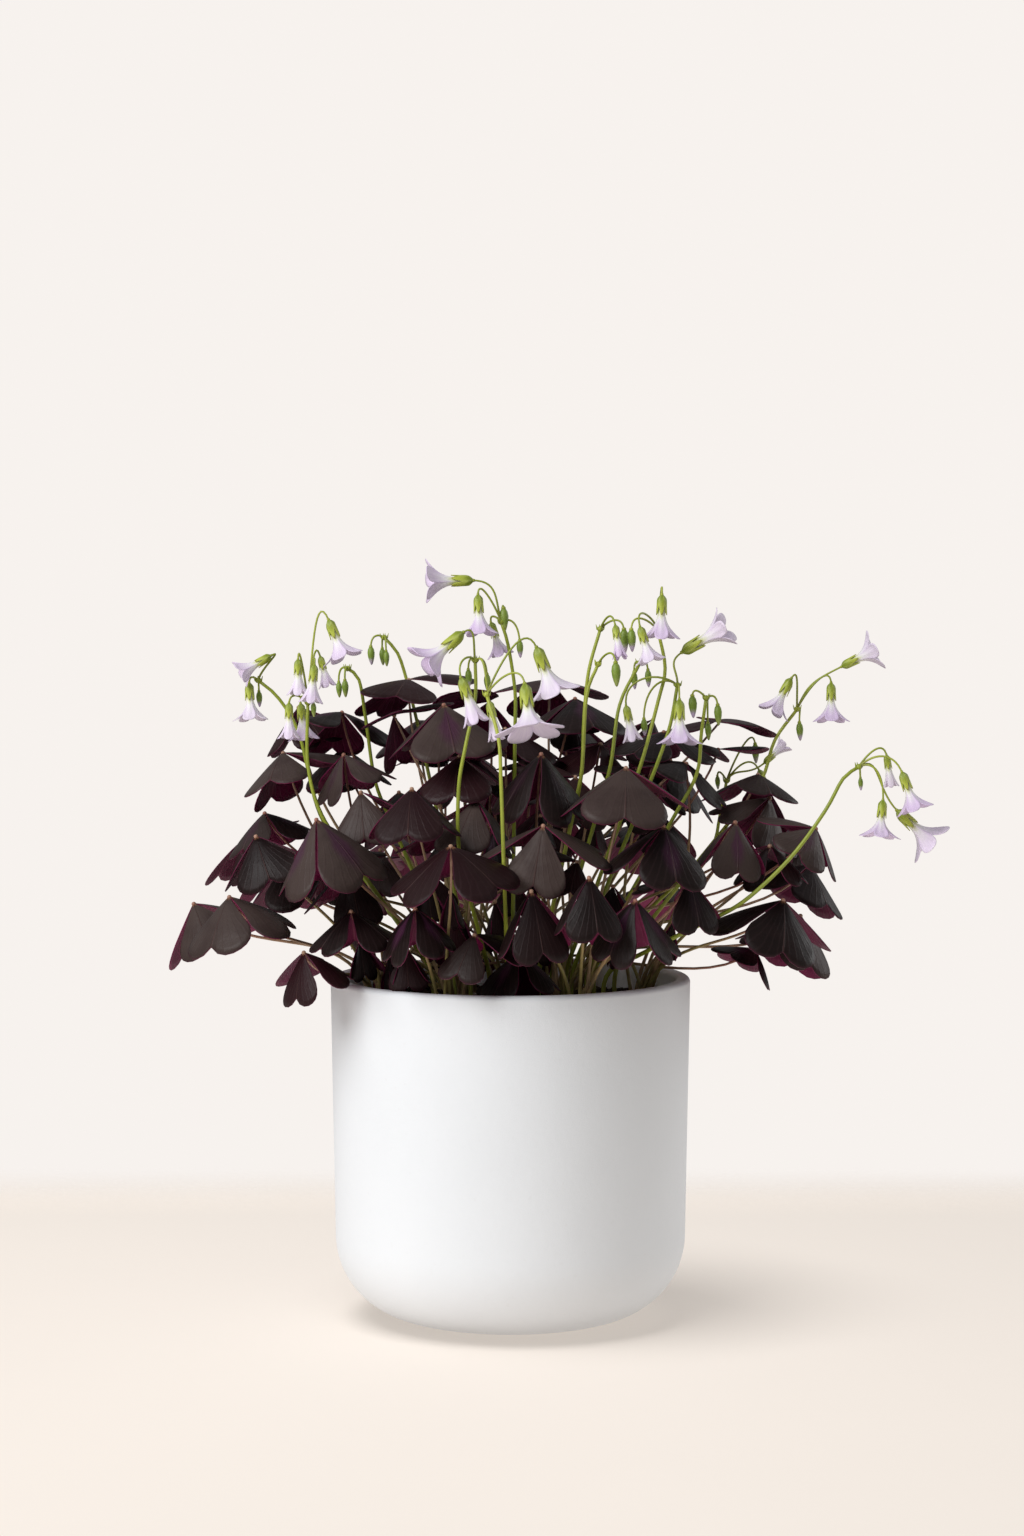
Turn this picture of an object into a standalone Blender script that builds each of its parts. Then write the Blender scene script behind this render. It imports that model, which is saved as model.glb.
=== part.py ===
"""Purple shamrock (Oxalis triangularis) in a round white pot, at its real size.

Metres, +Z up. The origin is the middle of the pot's flat foot, and the side that faces
a viewer looks along +Y. The soil holds one rhizome crown per clump of leaves and one
plain hole per flower stem. Each clump is one solid: its crown, its leaf stems and its
leaves of three folded leaflets. Each flower stem is one green solid with its cups and
buds, and each corolla stands loose in its cup.
"""
import math
import random
from collections import namedtuple

import bmesh
import bpy
import numpy as np
from mathutils.bvhtree import BVHTree

MM = 0.001

# Pot and soil
POT_HEIGHT = 152 * MM
POT_RIM_RADIUS = 80 * MM
POT_SIDE_RADIUS = 78 * MM
POT_CORNER = 37 * MM
POT_WALL = 6.5 * MM
POT_FLOOR = 9 * MM
RIM_ROUND = 2.2 * MM
POT_SIDES = 32
CORNER_STEPS = 4
SOIL_TOP = 140 * MM
GAP = 0.35 * MM

# Rhizome crowns: rings of (number, distance from the axis, first azimuth)
CROWN_RINGS = ((1, 0.0, 0.0), (4, 31 * MM, 40.0), (6, 58 * MM, 30.0))
CROWN_RADIUS = 6.0 * MM
CROWN_SIDES = 6
CROWN_PROFILE = ((4.2, -13.0), (6.0, -4.0), (4.6, 1.4))
MOST_ON_A_CROWN = 8
ROOT_SPREAD = 3.5 * MM
ROOT_DEPTH = 0.6 * MM
FUSED_BELOW = SOIL_TOP + 4 * MM

# Leaves
BLADE_THICK = 0.7 * MM
HALF_ANGLE = math.radians(46)
WIDEST_AT_HUB = math.radians(55)
NARROWING = 0.95
MOST_NARROWING = 8
OUTLINE = ((0.0, 0.88), (0.2, 0.97), (0.45, 1.02), (0.7, 0.99), (0.88, 0.88), (1.0, 0.68))
RIM_STOPS = (1.0, 0.68, 0.0)
HUB_RING = 1.1 * MM
HUB_DEPTH = 1.0 * MM
STALK_RING = 0.65 * MM
STALK_ROOT_RADIUS = 0.85 * MM
STALK_STEPS = 4
STEEP_ENOUGH = 1.0
CANOPY_TOP = 281 * MM
CANOPY_FALL = 3.7
STALK_TO_CROWN = 0.50
BACK_LEAVES = 28
GOLDEN_ANGLE = 137.508
CLEAR = 0.4 * MM
MOST_TRIES = 300
STALK_TRIES = 16
SEED = 41

# Flowers
SCAPE_SIDES = 4
SCAPE_RADIUS = 1.05 * MM
SCAPE_DEPTH = 11 * MM
SCAPE_STEP = 26 * MM
PEDICEL_RADIUS = 0.5 * MM
PEDICEL_STEPS = 3
FLOWER_SIDES = 5
CUP_PROFILE = ((1.9, 2.0), (2.4, 6.0))
CUP_INSIDE = ((1.75, 6.0), (0.0, 2.5))
BUD_PROFILE = ((1.35, 2.6), (0.95, 5.0), (0.0, 7.0))
COROLLA_APEX = 3.1
COROLLA_OUT = (2.3, 11.0)
COROLLA_INSIDE_APEX = 9.4
PETAL_THICK = 0.62

COLOURS = {
    "pot": ((0.86, 0.86, 0.85), 0.55),
    "soil": ((0.035, 0.024, 0.018), 0.95),
    "leaf": ((0.055, 0.030, 0.040), 0.45),
    "stem": ((0.30, 0.38, 0.06), 0.5),
    "petal": ((0.68, 0.55, 0.80), 0.6),
}

Leaf = namedtuple("Leaf", "x y z heading droop tilt length")
# Leaves that show from the front, placed by eye: hub in mm, heading of the first leaflet
# (0 faces the viewer, 90 to the right), droop and tilt in degrees, leaflet length in mm.
FRONT_LEAVES = (
    Leaf(-40, -70, 240, 2, 40, 12, 30), Leaf(-25, -92, 217, 52, 34, 14, 31),
    Leaf(13, -62, 255, 58, 36, 10, 32), Leaf(49, -75, 249, 4, 30, 12, 32),
    Leaf(65, -72, 224, 24, 38, 14, 30), Leaf(13, -78, 221, -4, 36, 12, 33),
    Leaf(9, -88, 198, 22, 52, 14, 31), Leaf(53, -84, 195, -38, 46, 14, 31),
    Leaf(118, -45, 190, 18, 32, 22, 33), Leaf(122, -36, 210, 12, 30, 20, 28),
    Leaf(134, 8, 201, 40, 26, 24, 29), Leaf(-83, -60, 226, 48, 46, 12, 36),
    Leaf(-111, -30, 217, 4, 40, 22, 27), Leaf(-109, 10, 225, -40, 28, 20, 26),
    Leaf(-122, -40, 191, 84, 34, 16, 32), Leaf(-141, -8, 184, -4, 34, 26, 29),
    Leaf(-97, -38, 184, -10, 60, 12, 29), Leaf(-31, -58, 171, 60, 62, 0, 26),
    Leaf(4, -57, 163, 74, 30, -4, 27), Leaf(-62, -60, 187, 50, 56, 6, 25),
    Leaf(-40, -76, 189, 56, 40, 8, 25), Leaf(45, -66, 212, -12, 24, 8, 25),
    Leaf(81, -66, 206, 58, 28, 14, 26), Leaf(97, -48, 224, 20, 46, 12, 27),
    Leaf(112, -12, 225, 14, 36, 20, 28), Leaf(105, 6, 236, 80, 20, 14, 30),
    Leaf(80, -18, 247, -20, 22, 10, 27), Leaf(106, 34, 243, 100, 18, 16, 27),
    Leaf(68, -4, 261, -38, 18, 8, 28), Leaf(87, 36, 258, 30, 20, 12, 28),
    Leaf(29, 18, 275, 20, 18, 2, 30), Leaf(-29, -30, 274, 6, 34, 8, 34),
    Leaf(-45, 14, 282, 30, 8, -6, 31), Leaf(-72, 16, 267, 70, 18, 6, 29),
    Leaf(-67, -46, 238, 4, 38, 12, 28), Leaf(-97, -6, 247, -24, 18, 26, 32),
    Leaf(-78, -28, 251, 40, 22, 12, 26), Leaf(-55, -8, 259, 66, 20, 8, 29),
    Leaf(-17, -38, 243, -50, 26, 8, 30), Leaf(-10, -54, 224, 30, 30, 8, 31),
    Leaf(-2, 8, 262, -44, 24, 2, 30), Leaf(39, -34, 228, 36, 28, 8, 29),
    Leaf(101, -44, 199, -30, 38, 16, 28), Leaf(107, 20, 174, 20, 44, 20, 23),
    Leaf(130, 10, 178, 36, 40, 20, 30), Leaf(33, -94, 204, 20, 50, 14, 28),
    Leaf(-12, -72, 192, -60, 46, 8, 27), Leaf(43, 14, 258, 66, 20, 4, 28),
    Leaf(24, -24, 242, 10, 24, 4, 29), Leaf(-8, -58, 193, 12, 50, 8, 28),
    Leaf(32, -52, 187, -24, 52, 10, 27), Leaf(-66, -34, 206, 20, 46, 12, 28),
    Leaf(72, -36, 192, 44, 46, 12, 27), Leaf(-24, -34, 214, 70, 40, 6, 28),
    Leaf(-88, -16, 209, 36, 40, 18, 27),
)

Scape = namedtuple("Scape", "name path blooms buds")
# Flower stems: points in mm from above the soil up to the umbel. Each bloom gives its cup's
# base and the way that it faces, its size and how far it opens; each bud its base and size.
SCAPES = (
    Scape("left_outer", ((-84, -12, 225), (-93, -12, 260), (-102, -12, 276), (-111, -12, 284)),
          ((-105, -16, 295, -0.85, -0.1, -0.5, 0.85, 0.8), (-115, -12, 283, 0.05, -0.1, -1, 0.9, 1.0)),
          ((-111, -8, 279, 1.0),)),
    Scape("left_inner", ((-82, -34, 226), (-88, -34, 248), (-88, -33, 275)),
          ((-92, -36, 294, 0.0, 0, -1, 0.8, 0.6), (-86, -38, 294, -0.1, 0, -1, 0.85, 0.6),
           (-91, -28, 276, 0.1, 0, -1, 0.85, 0.9), (-97, -34, 276, 0.0, 0, -1, 0.8, 0.6),
           (-79, -32, 311, 0.4, -0.1, -1, 1.0, 1.1), (-83, -26, 295, 0.25, 0, -1, 0.7, 0.5)),
          ((-85, -38, 276, 0.9),)),
    Scape("left_back", ((-43, 32, 267), (-47, 32, 283), (-51, 31, 295), (-57, 30, 302)),
          (), ((-63, 28, 298, 1.2), (-56, 26, 296, 1.0), (-58, 33, 297, 1.1))),
    Scape("left_bent", ((-60, -2, 239), (-64, -3, 266), (-67, -4, 284), (-72, -5, 289)),
          (), ((-73, -9, 284, 1.1), (-76, -3, 283, 1.0))),
    Scape("middle_low", ((-22, -62, 213), (-22, -66, 240), (-19, -66, 258), (-15, -62, 278), (-15, -60, 294)),
          ((-20, -64, 306, -0.75, -0.15, -0.65, 1.2, 1.1), (-21, -70, 287, 0.35, -0.05, -1, 1.05, 0.5),
           (-9, -68, 277, 0.2, -0.1, -1, 0.85, 0.3)),
          ((-18, -56, 290, 1.1), (-10, -56, 288, 1.1))),
    Scape("middle_front", ((-3, -84, 216), (-4, -88, 246), (-5, -86, 262), (-10, -78, 280)),
          ((6, -88, 285, 0.12, -0.3, -1, 1.25, 1.5), (11, -76, 300, 0.38, 0.0, -1, 1.2, 1.2)), ()),
    Scape("middle_tall", ((2, -34, 262), (2, -34, 280), (-1, -34, 300), (-4, -34, 310)),
          ((-16, -36, 328, -1, -0.05, -0.02, 1.1, 1.0), (-14, -38, 322, 0.05, -0.1, -1, 0.95, 1.0),
           (-8, -30, 310, 0.3, 0.0, -1, 0.8, 0.8)),
          ((-3, -33, 316, 1.5), (4, -32, 302, 1.1))),
    Scape("right_first", ((36, -46, 246), (37, -45, 269), (39, -45, 289), (44, -44, 307)),
          ((45, -49, 309, 0.15, -0.3, -1, 0.75, 0.3),), ((49, -42, 307, 1.5),)),
    Scape("right_second", ((39, -56, 246), (41, -54, 278), (46, -53, 292)), (), ((45, -57, 293, 1.5),)),
    Scape("right_third", ((44, -38, 248), (48, -34, 274), (57, -28, 292)), (),
          ((54, -24, 288, 1.1), (60, -26, 289, 1.1))),
    Scape("right_tall", ((50, -52, 250), (57, -51, 276), (60, -50, 290), (57, -50, 306)),
          ((65, -52, 322, -0.02, 0, -1, 1.0, 0.9), (56, -56, 308, 0.3, -0.1, -1, 0.85, 0.9)),
          ((52, -47, 307, 1.4),)),
    Scape("right_fourth", ((54, -40, 248), (60, -40, 266), (63, -40, 283)),
          ((74, -42, 297, 0.85, -0.15, 0.5, 1.2, 0.8), (67, -46, 282, 0.0, -0.1, -1, 1.05, 1.1),
           (50, -40, 274, 0.2, 0, -1, 0.8, 0.5)),
          ((58, -34, 268, 1.1),)),
    Scape("right_low", ((81, -34, 244), (83, -34, 262), (85, -34, 277)), (),
          ((90, -34, 274, 1.3), (86, -30, 266, 1.1), (79, -34, 278, 1.4))),
    Scape("right_outer", ((113, 22, 238), (119, 22, 256), (129, 22, 270)),
          ((126, 18, 284, -0.55, -0.1, -1, 0.95, 0.9), (149, 24, 289, 0.9, 0, 0.45, 0.95, 1.2),
           (144, 20, 282, 0.0, -0.1, -1, 0.95, 1.0)),
          ((130, 22, 264, 1.2),)),
    Scape("far_right", ((100, -54, 190), (120, -56, 209), (135, -54, 229), (143, -52, 243), (150, -50, 248)),
          ((162, -48, 253, 0.15, 0, -1, 0.7, 0.4), (168, -54, 246, 0.35, -0.1, -1, 0.95, 1.0),
           (160, -54, 234, -0.1, -0.1, -1, 0.9, 1.2), (167, -46, 230, 0.75, 0, -0.7, 1.15, 1.1)),
          ((151, -46, 243, 0.8),)),
    Scape("behind", ((92, 50, 205), (96, 50, 220), (99, 50, 236)),
          ((116, 50, 244, 0.65, 0, 0.6, 0.7, 0.6), (114, 54, 241, 0.4, 0, -1, 0.75, 0.9)),
          ((112, 50, 253, 1.3), (95, 54, 238, 0.9))),
)


def unit(v):
    return v / np.linalg.norm(v)


def heading_vector(degrees):
    """A level unit vector: 0 faces the viewer at -Y, 90 points to +X."""
    a = math.radians(degrees)
    return np.array((math.sin(a), -math.cos(a), 0.0))


UP = np.array((0.0, 0.0, 1.0))


def bezier(p0, p1, p2, p3, steps):
    t = np.linspace(0.0, 1.0, steps + 1)[:, None]
    s = 1.0 - t
    return s**3 * p0 + 3 * s * s * t * p1 + 3 * s * t * t * p2 + t**3 * p3


def smooth_path(points, step):
    """Points read about a step apart from a Catmull-Rom curve through the given ones."""
    p = np.array([2 * points[0] - points[1], *points, 2 * points[-1] - points[-2]])
    found = []
    for a, b, c, d in zip(p, p[1:], p[2:], p[3:]):
        count = max(1, round(float(np.linalg.norm(c - b)) / step))
        for t in np.arange(count) / count:
            found.append(
                0.5 * (2 * b + (c - a) * t + (2 * a - 5 * b + 4 * c - d) * t * t + (3 * b - a - 3 * c + d) * t**3)
            )
    return np.array([*found, points[-1]])


def turned(vectors, before, after):
    """Vectors carried from one tangent to the next with no twist."""
    axis = np.cross(before, after)
    s, c = float(np.linalg.norm(axis)), float(before @ after)
    if s < 1e-9:
        return vectors
    axis = axis / s
    along = (vectors @ axis)[:, None] * axis
    return vectors * c + np.cross(axis, vectors) * s + along * (1 - c)


def tangents(path):
    t = np.gradient(path, axis=0)
    return t / np.linalg.norm(t, axis=1)[:, None]


def ring_offsets(direction, sides):
    side = unit(np.cross(direction, (0.31, 0.87, 0.39)))
    other = np.cross(direction, side)
    a = np.arange(sides) * 2 * math.pi / sides
    return np.cos(a)[:, None] * side + np.sin(a)[:, None] * other


def bridge(first, second, sides):
    """Quads between two rings of vertices that start at these indices."""
    return [(first + i, first + (i + 1) % sides, second + (i + 1) % sides, second + i) for i in range(sides)]


def tube(path, radii, sides):
    """Vertices and faces of a closed tube along a path."""
    tan = tangents(path)
    offsets = ring_offsets(tan[0], sides)
    verts = [path[0] + offsets * radii[0]]
    for i in range(1, len(path)):
        offsets = turned(offsets, tan[i - 1], tan[i])
        verts.append(path[i] + offsets * radii[i])
    faces = [tuple(reversed(range(sides)))]
    for i in range(len(path) - 1):
        faces += bridge(i * sides, (i + 1) * sides, sides)
    last = (len(path) - 1) * sides
    return np.concatenate(verts), [*faces, tuple(range(last, last + sides))]


def lathe(rings, sides, axis=UP, base=np.zeros(3), turn=0.0):
    """A closed solid of revolution. Each ring is (radius, height along axis), and radius 0 is a point."""
    offsets = ring_offsets(axis, sides) if axis is not UP else None
    if offsets is None:
        a = np.arange(sides) * 2 * math.pi / sides + turn
        offsets = np.stack([np.cos(a), np.sin(a), np.zeros(sides)], 1)
    verts, faces, starts = [], [], []
    for radius, height in rings:
        starts.append((len(verts), radius == 0.0))
        at = base + axis * height
        verts += [at] if radius == 0.0 else list(at + offsets * radius)
    for (a, a_point), (b, b_point) in zip(starts, starts[1:]):
        if a_point:
            faces += [(a, b + (i + 1) % sides, b + i) for i in range(sides)]
        elif b_point:
            faces += [(a + i, a + (i + 1) % sides, b) for i in range(sides)]
        else:
            faces += bridge(a, b, sides)
    if not starts[0][1]:
        faces.append(tuple(reversed(range(sides))))
    if not starts[-1][1]:
        last = starts[-1][0]
        faces.append(tuple(range(last, last + sides)))
    return np.array(verts), faces


def outline_radius(share):
    """Leaflet radius from the hub, as a share of its length, at this share of its half angle."""
    return float(np.interp(share, [s for s, _ in OUTLINE], [r for _, r in OUTLINE]))


class Grown:
    """A leaf's own frame: its hub, its axis, how each leaflet lies and how its stem bows."""

    def __init__(self, leaf, rng, moves=None, far=0.0):
        """With moves, the leaf is shifted, turned and folded by chance, the more the larger far is."""
        by = (lambda most: moves.uniform(-most, most)) if moves else (lambda most: 0.0)
        self.hub = np.array((leaf.x + by(far), leaf.y + by(far), leaf.z + by(far))) * MM
        outward = unit(np.array((leaf.x, leaf.y, 0.0)) + 1e-6)
        lean = math.radians(leaf.tilt + by(min(18.0, 1.5 * far)))
        self.axis = unit(UP * math.cos(lean) + outward * math.sin(lean))
        self.length = leaf.length * MM * (1.0 - min(0.16, 0.01 * far))
        self.bow = np.zeros(3)
        turn = by(min(60.0, 6.0 * far))
        self.leaflets = []
        for k in range(3):
            azimuth = leaf.heading + turn + 120.0 * k + rng.uniform(-3, 3) + by(min(2.0, far))
            level = heading_vector(azimuth)
            radial = unit(level - self.axis * (level @ self.axis))
            droop = math.radians(leaf.droop + rng.uniform(-7, 7) + by(min(32.0, 5.0 * far)))
            bend = math.radians(rng.uniform(8, 26))
            fold = math.radians(rng.uniform(6, 22))
            size = self.length * rng.uniform(0.95, 1.05)
            half = min(HALF_ANGLE, math.atan(math.tan(WIDEST_AT_HUB) * math.cos(droop)))
            self.leaflets.append((radial, np.cross(self.axis, radial), droop, bend, fold, size, half))

    def point(self, k, reach, across, lift=0.0):
        """A point of leaflet k: reach 0 to 1 from the hub to the outer edge, across -1 to 1."""
        radial, side, droop, bend, fold, size, half_angle = self.leaflets[k]
        radius = reach * outline_radius(abs(across)) * size
        u, v = radius * math.cos(across * half_angle), radius * math.sin(across * half_angle)
        curl = bend / size
        slope = droop + curl * u
        out = (math.sin(slope) - math.sin(droop)) / curl
        down = (math.cos(droop) - math.cos(slope)) / curl
        normal = math.cos(slope) * self.axis + math.sin(slope) * radial
        half = normal
        if abs(across) > 0.01:
            half = normal * math.cos(fold) + side * math.copysign(math.sin(fold), v)
        middle = self.hub + radial * out - self.axis * down
        return middle + side * v * math.cos(fold) - normal * abs(v) * math.sin(fold) + half * lift

    def narrow(self):
        """Narrows the leaflets until none meets another at the hub, and says whether that worked."""
        for _ in range(MOST_NARROWING):
            if not crosses_itself(*blade_mesh(self, 0.0)[:2]):
                return True
            self.leaflets = [(*leaflet[:-1], leaflet[-1] * NARROWING) for leaflet in self.leaflets]
        return False

    def stalk(self, root, steps):
        """The leaf stem's path, from its root up to just under the hub."""
        chord = self.hub - root
        reach = float(np.linalg.norm(chord))
        end = unit(0.55 * self.axis + 0.45 * chord / reach)
        level = np.array((chord[0], chord[1], 0.0))
        start = unit(UP + 0.30 * level / max(reach, MM))
        top = self.hub - self.axis * 1.5 * MM
        low = root + start * 0.42 * reach + self.bow
        return bezier(root, low, top - end * 0.36 * reach + self.bow * 0.8, top, steps)


def leaf_mesh(grown, root, swell=0.0):
    """One closed leaf: three folded leaflets joined round the hub, on a three-sided stem."""
    verts, faces, knee = blade_mesh(grown, swell)
    path = grown.stalk(root, STALK_STEPS)[::-1]
    tan = tangents(path)
    offsets = np.array([grown.leaflets[k][0] for k in range(3)])
    offsets = turned(offsets, -grown.axis, tan[0])
    start = knee
    for i in range(1, len(path)):
        offsets = turned(offsets, tan[i - 1], tan[i])
        share = i / (len(path) - 1)
        radius = STALK_RING + (STALK_ROOT_RADIUS - STALK_RING) * share + swell
        ring = len(verts)
        verts += list(path[i] + offsets * radius)
        faces += bridge(start, ring, 3)
        start = ring
    faces.append((start, start + 1, start + 2))
    return np.array(verts), faces


def blade_mesh(grown, swell):
    """The three leaflets as one thin solid, open only where the leaf stem starts, and that ring's start."""
    h = BLADE_THICK / 2 + swell
    verts, faces = [grown.hub + grown.axis * h], []
    tops, unders, valleys = [], [], []
    for k in range(3):
        here, after = grown.leaflets[k][0], grown.leaflets[(k + 1) % 3][0]
        between = unit(here + after)
        at = grown.hub + between * HUB_RING
        valleys.append((len(verts), len(verts) + 1))
        verts += [at + grown.axis * (h - 0.25 * MM), at - grown.axis * (h + HUB_DEPTH)]
    for k in range(3):
        rows = []
        for lift in (h, -h):
            row = [grown.point(k, 1.0, -a, lift) for a in RIM_STOPS]
            row += [grown.point(k, 1.0, a, lift) for a in reversed(RIM_STOPS[:-1])]
            rows.append(range(len(verts), len(verts) + len(row)))
            verts += row
        tops.append(rows[0])
        unders.append(rows[1])
    knee = len(verts)
    for k in range(3):
        near = STALK_RING + swell
        verts.append(grown.hub + grown.leaflets[k][0] * near - grown.axis * (h + HUB_DEPTH))
    for k in range(3):
        before, after = valleys[(k + 2) % 3], valleys[k]
        for row, apex, layer in ((tops[k], 0, 0), (unders[k], knee + k, 1)):
            edge = [before[layer], *row, after[layer]]
            face = [(apex, a, b) for a, b in zip(edge, edge[1:])]
            faces += face if layer == 0 else [f[::-1] for f in face]
        upper = [before[0], *tops[k], after[0]]
        lower = [before[1], *unders[k], after[1]]
        walls = list(zip(upper, upper[1:], lower, lower[1:]))
        faces += [(a, c, d, b) for a, b, c, d in walls[1:-1]]
        (a, b, c, d), (e, f, g, h_) = walls[0], walls[-1]
        faces += [(a, c, b), (c, d, b), (e, g, h_), (e, h_, f)]
        faces.append((knee + k, knee + (k + 1) % 3, after[1]))
    return verts, faces, knee


def crosses_itself(verts, faces):
    """Whether two faces of a solid meet that have no corner in common."""
    thirds = [(f[0], a, b) for f in faces for a, b in zip(f[1:], f[2:])]
    tree = BVHTree.FromPolygons([tuple(v / MM) for v in verts], thirds)
    return any(a < b and not set(thirds[a]) & set(thirds[b]) for a, b in tree.overlap(tree))


def tree_of(verts, faces, above=None):
    """A search tree of a solid, or of the faces that lie wholly above a height."""
    if above is not None:
        faces = [f for f in faces if min(verts[i][2] for i in f) > above]
    return BVHTree.FromPolygons([tuple(v) for v in verts], faces) if faces else None


class Space:
    """What already stands in the air, so that each new leaf or bloom is bent clear of it."""

    def __init__(self):
        self.held = []

    def add(self, verts, faces, family, free_below):
        low, high = np.min(verts, axis=0), np.max(verts, axis=0)
        self.held.append((family, low, high, tree_of(verts, faces), tree_of(verts, faces, free_below)))

    def clear(self, verts, faces, family, free_below=0.0):
        """Whether a solid meets none. Below a height it may meet its own family, which it is fused to."""
        if not faces:
            return True
        low, high = np.min(verts, axis=0), np.max(verts, axis=0)
        whole, upper = None, None
        for other, start, end, tree, top in self.held:
            if (start > high).any() or (low > end).any():
                continue
            if other != family:
                whole = whole or tree_of(verts, faces)
                if whole.overlap(tree):
                    return False
                continue
            upper = upper or tree_of(verts, faces, free_below)
            if upper and top and upper.overlap(top):
                return False
        return True


def crown_places():
    found = []
    for count, distance, first in CROWN_RINGS:
        for i in range(count):
            at = heading_vector(first + 360.0 * i / count) * distance
            found.append(np.array((at[0], at[1], SOIL_TOP)))
    return found


def canopy_leaves():
    """The leaves placed by eye, then the far side's by a golden-angle rule over the same dome."""
    leaves = sorted(FRONT_LEAVES, key=lambda leaf: leaf.y)
    rng = random.Random(SEED)
    for i in range(BACK_LEAVES):
        share = (i + 0.6) / BACK_LEAVES
        reach = 28 + 118 * share
        azimuth = 180 + ((i * GOLDEN_ANGLE) % 180.0 - 90.0) * 0.98
        x, y, _ = heading_vector(azimuth) * reach
        y = max(y, 14 + 10 * (i % 3))
        z = CANOPY_TOP / MM - CANOPY_FALL * reach * reach / 1000 - rng.choice((0, 4, 22, 40)) * (0.4 + share)
        leaves.append(
            Leaf(x, y, max(z, 172), rng.uniform(-60, 60), rng.uniform(18, 40),
                 6 + 18 * share, rng.uniform(27, 34))
        )
    return leaves


def nearest_crown(leaf, crowns, taken):
    wish = np.array((leaf.x, leaf.y, 0.0)) * MM * STALK_TO_CROWN
    order = sorted(range(len(crowns)), key=lambda i: float(np.hypot(*(crowns[i][:2] - wish[:2]))))
    return next(i for i in order if len(taken[i]) < MOST_ON_A_CROWN)


def root_on(crown, leaf, taken):
    """The free place on a ring round the crown that is nearest to the leaf's side, and its number."""
    toward = np.array((leaf.x, leaf.y, 0.0)) * MM - crown * (1, 1, 0)
    ways = [2 * math.pi * (i + 0.25) / MOST_ON_A_CROWN for i in range(MOST_ON_A_CROWN)]
    free = [i for i in range(MOST_ON_A_CROWN) if i not in taken]
    best = max(free, key=lambda i: toward[0] * math.cos(ways[i]) + toward[1] * math.sin(ways[i]))
    spot = np.array((math.cos(ways[best]), math.sin(ways[best]), 0.0)) * ROOT_SPREAD
    return crown + spot - UP * ROOT_DEPTH, best


def place_leaf(space, leaf, root, family, index):
    """The leaf, moved little by little until it is clear of all before it, or None."""
    moves = random.Random(SEED + 101 * index)
    for trial in range(MOST_TRIES):
        shape = Grown(leaf, random.Random(SEED + index), moves, 0.075 * trial)
        if not shape.narrow():
            continue
        verts, faces, _ = blade_mesh(shape, CLEAR)
        if not space.clear(verts, faces, family, FUSED_BELOW):
            continue
        for bend in range(STALK_TRIES):
            way = 0.0020 * bend
            shape.bow = np.array((moves.uniform(-way, way), moves.uniform(-way, way), 0.0))
            path = shape.stalk(root, STALK_STEPS)
            radii = np.full(len(path), STALK_ROOT_RADIUS + CLEAR)
            rise = path[1] - path[0]
            if rise[2] < STEEP_ENOUGH * math.hypot(rise[0], rise[1]):
                continue
            if space.clear(*tube(path[:-1], radii[:-1], 3), family, FUSED_BELOW):
                verts, faces = leaf_mesh(shape, root, CLEAR)
                if not space.clear(verts, faces, family, FUSED_BELOW):
                    continue
                if not crosses_itself(*leaf_mesh(shape, root)):
                    space.add(verts, faces, family, FUSED_BELOW)
                    return shape
    return None


def settle_leaves(space, crowns):
    """Each leaf with its crown and its root there."""
    taken, grown = [set() for _ in crowns], []
    for index, leaf in enumerate(canopy_leaves()):
        home = nearest_crown(leaf, crowns, taken)
        root, spot = root_on(crowns[home], leaf, taken[home])
        shape = place_leaf(space, leaf, root, f"crown{home}", index)
        if shape:
            taken[home].add(spot)
            grown.append((home, root, shape))
    return grown


def scape_path(scape):
    points = [np.array(p, float) * MM for p in scape.path]
    foot = points[0] * (0.42, 0.42, 0)
    foot[2] = SOIL_TOP - SCAPE_DEPTH
    rise = foot + UP * (SCAPE_DEPTH + 14 * MM)
    return [foot, rise, *points]


def pedicel_path(umbel, base, facing, steps):
    """A thin flower stalk that leaves the umbel upwards and arches over into its cup."""
    reach = float(np.linalg.norm(base - umbel))
    start = unit(UP * 0.9 + unit(base - umbel) * 0.8)
    end = base + facing * 0.9 * MM
    return bezier(umbel, umbel + start * 0.45 * reach, base - facing * (0.40 * reach + 2.5 * MM), end, steps)


def head_mesh(umbel, base, facing, size, kind, swell=0.0):
    """A flower stalk that widens into a green cup, hollow where the corolla stands, or into a bud."""
    path = pedicel_path(umbel, base, facing, PEDICEL_STEPS)
    verts, faces = tube(path, [PEDICEL_RADIUS + swell] * len(path), 3)
    rings = (*CUP_PROFILE, *CUP_INSIDE) if kind == "bloom" else BUD_PROFILE
    sides = FLOWER_SIDES if kind == "bloom" else 4
    offsets = ring_offsets(facing, sides)
    verts = list(verts)
    near = [len(verts) - 3 + i for i in range(3)]
    faces.pop()
    for number, (radius, height) in enumerate(rings):
        at = base + facing * height * size * MM
        if radius == 0.0:
            verts.append(at)
            faces += [(near[i], near[(i + 1) % sides], len(verts) - 1) for i in range(sides)]
            continue
        ring = [len(verts) + i for i in range(sides)]
        verts += list(at + offsets * (radius * size * MM + swell))
        faces += bridge(near[0], ring[0], sides) if number else joined_rings(verts, near, ring)
        near = ring
    return np.array(verts), faces


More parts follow.
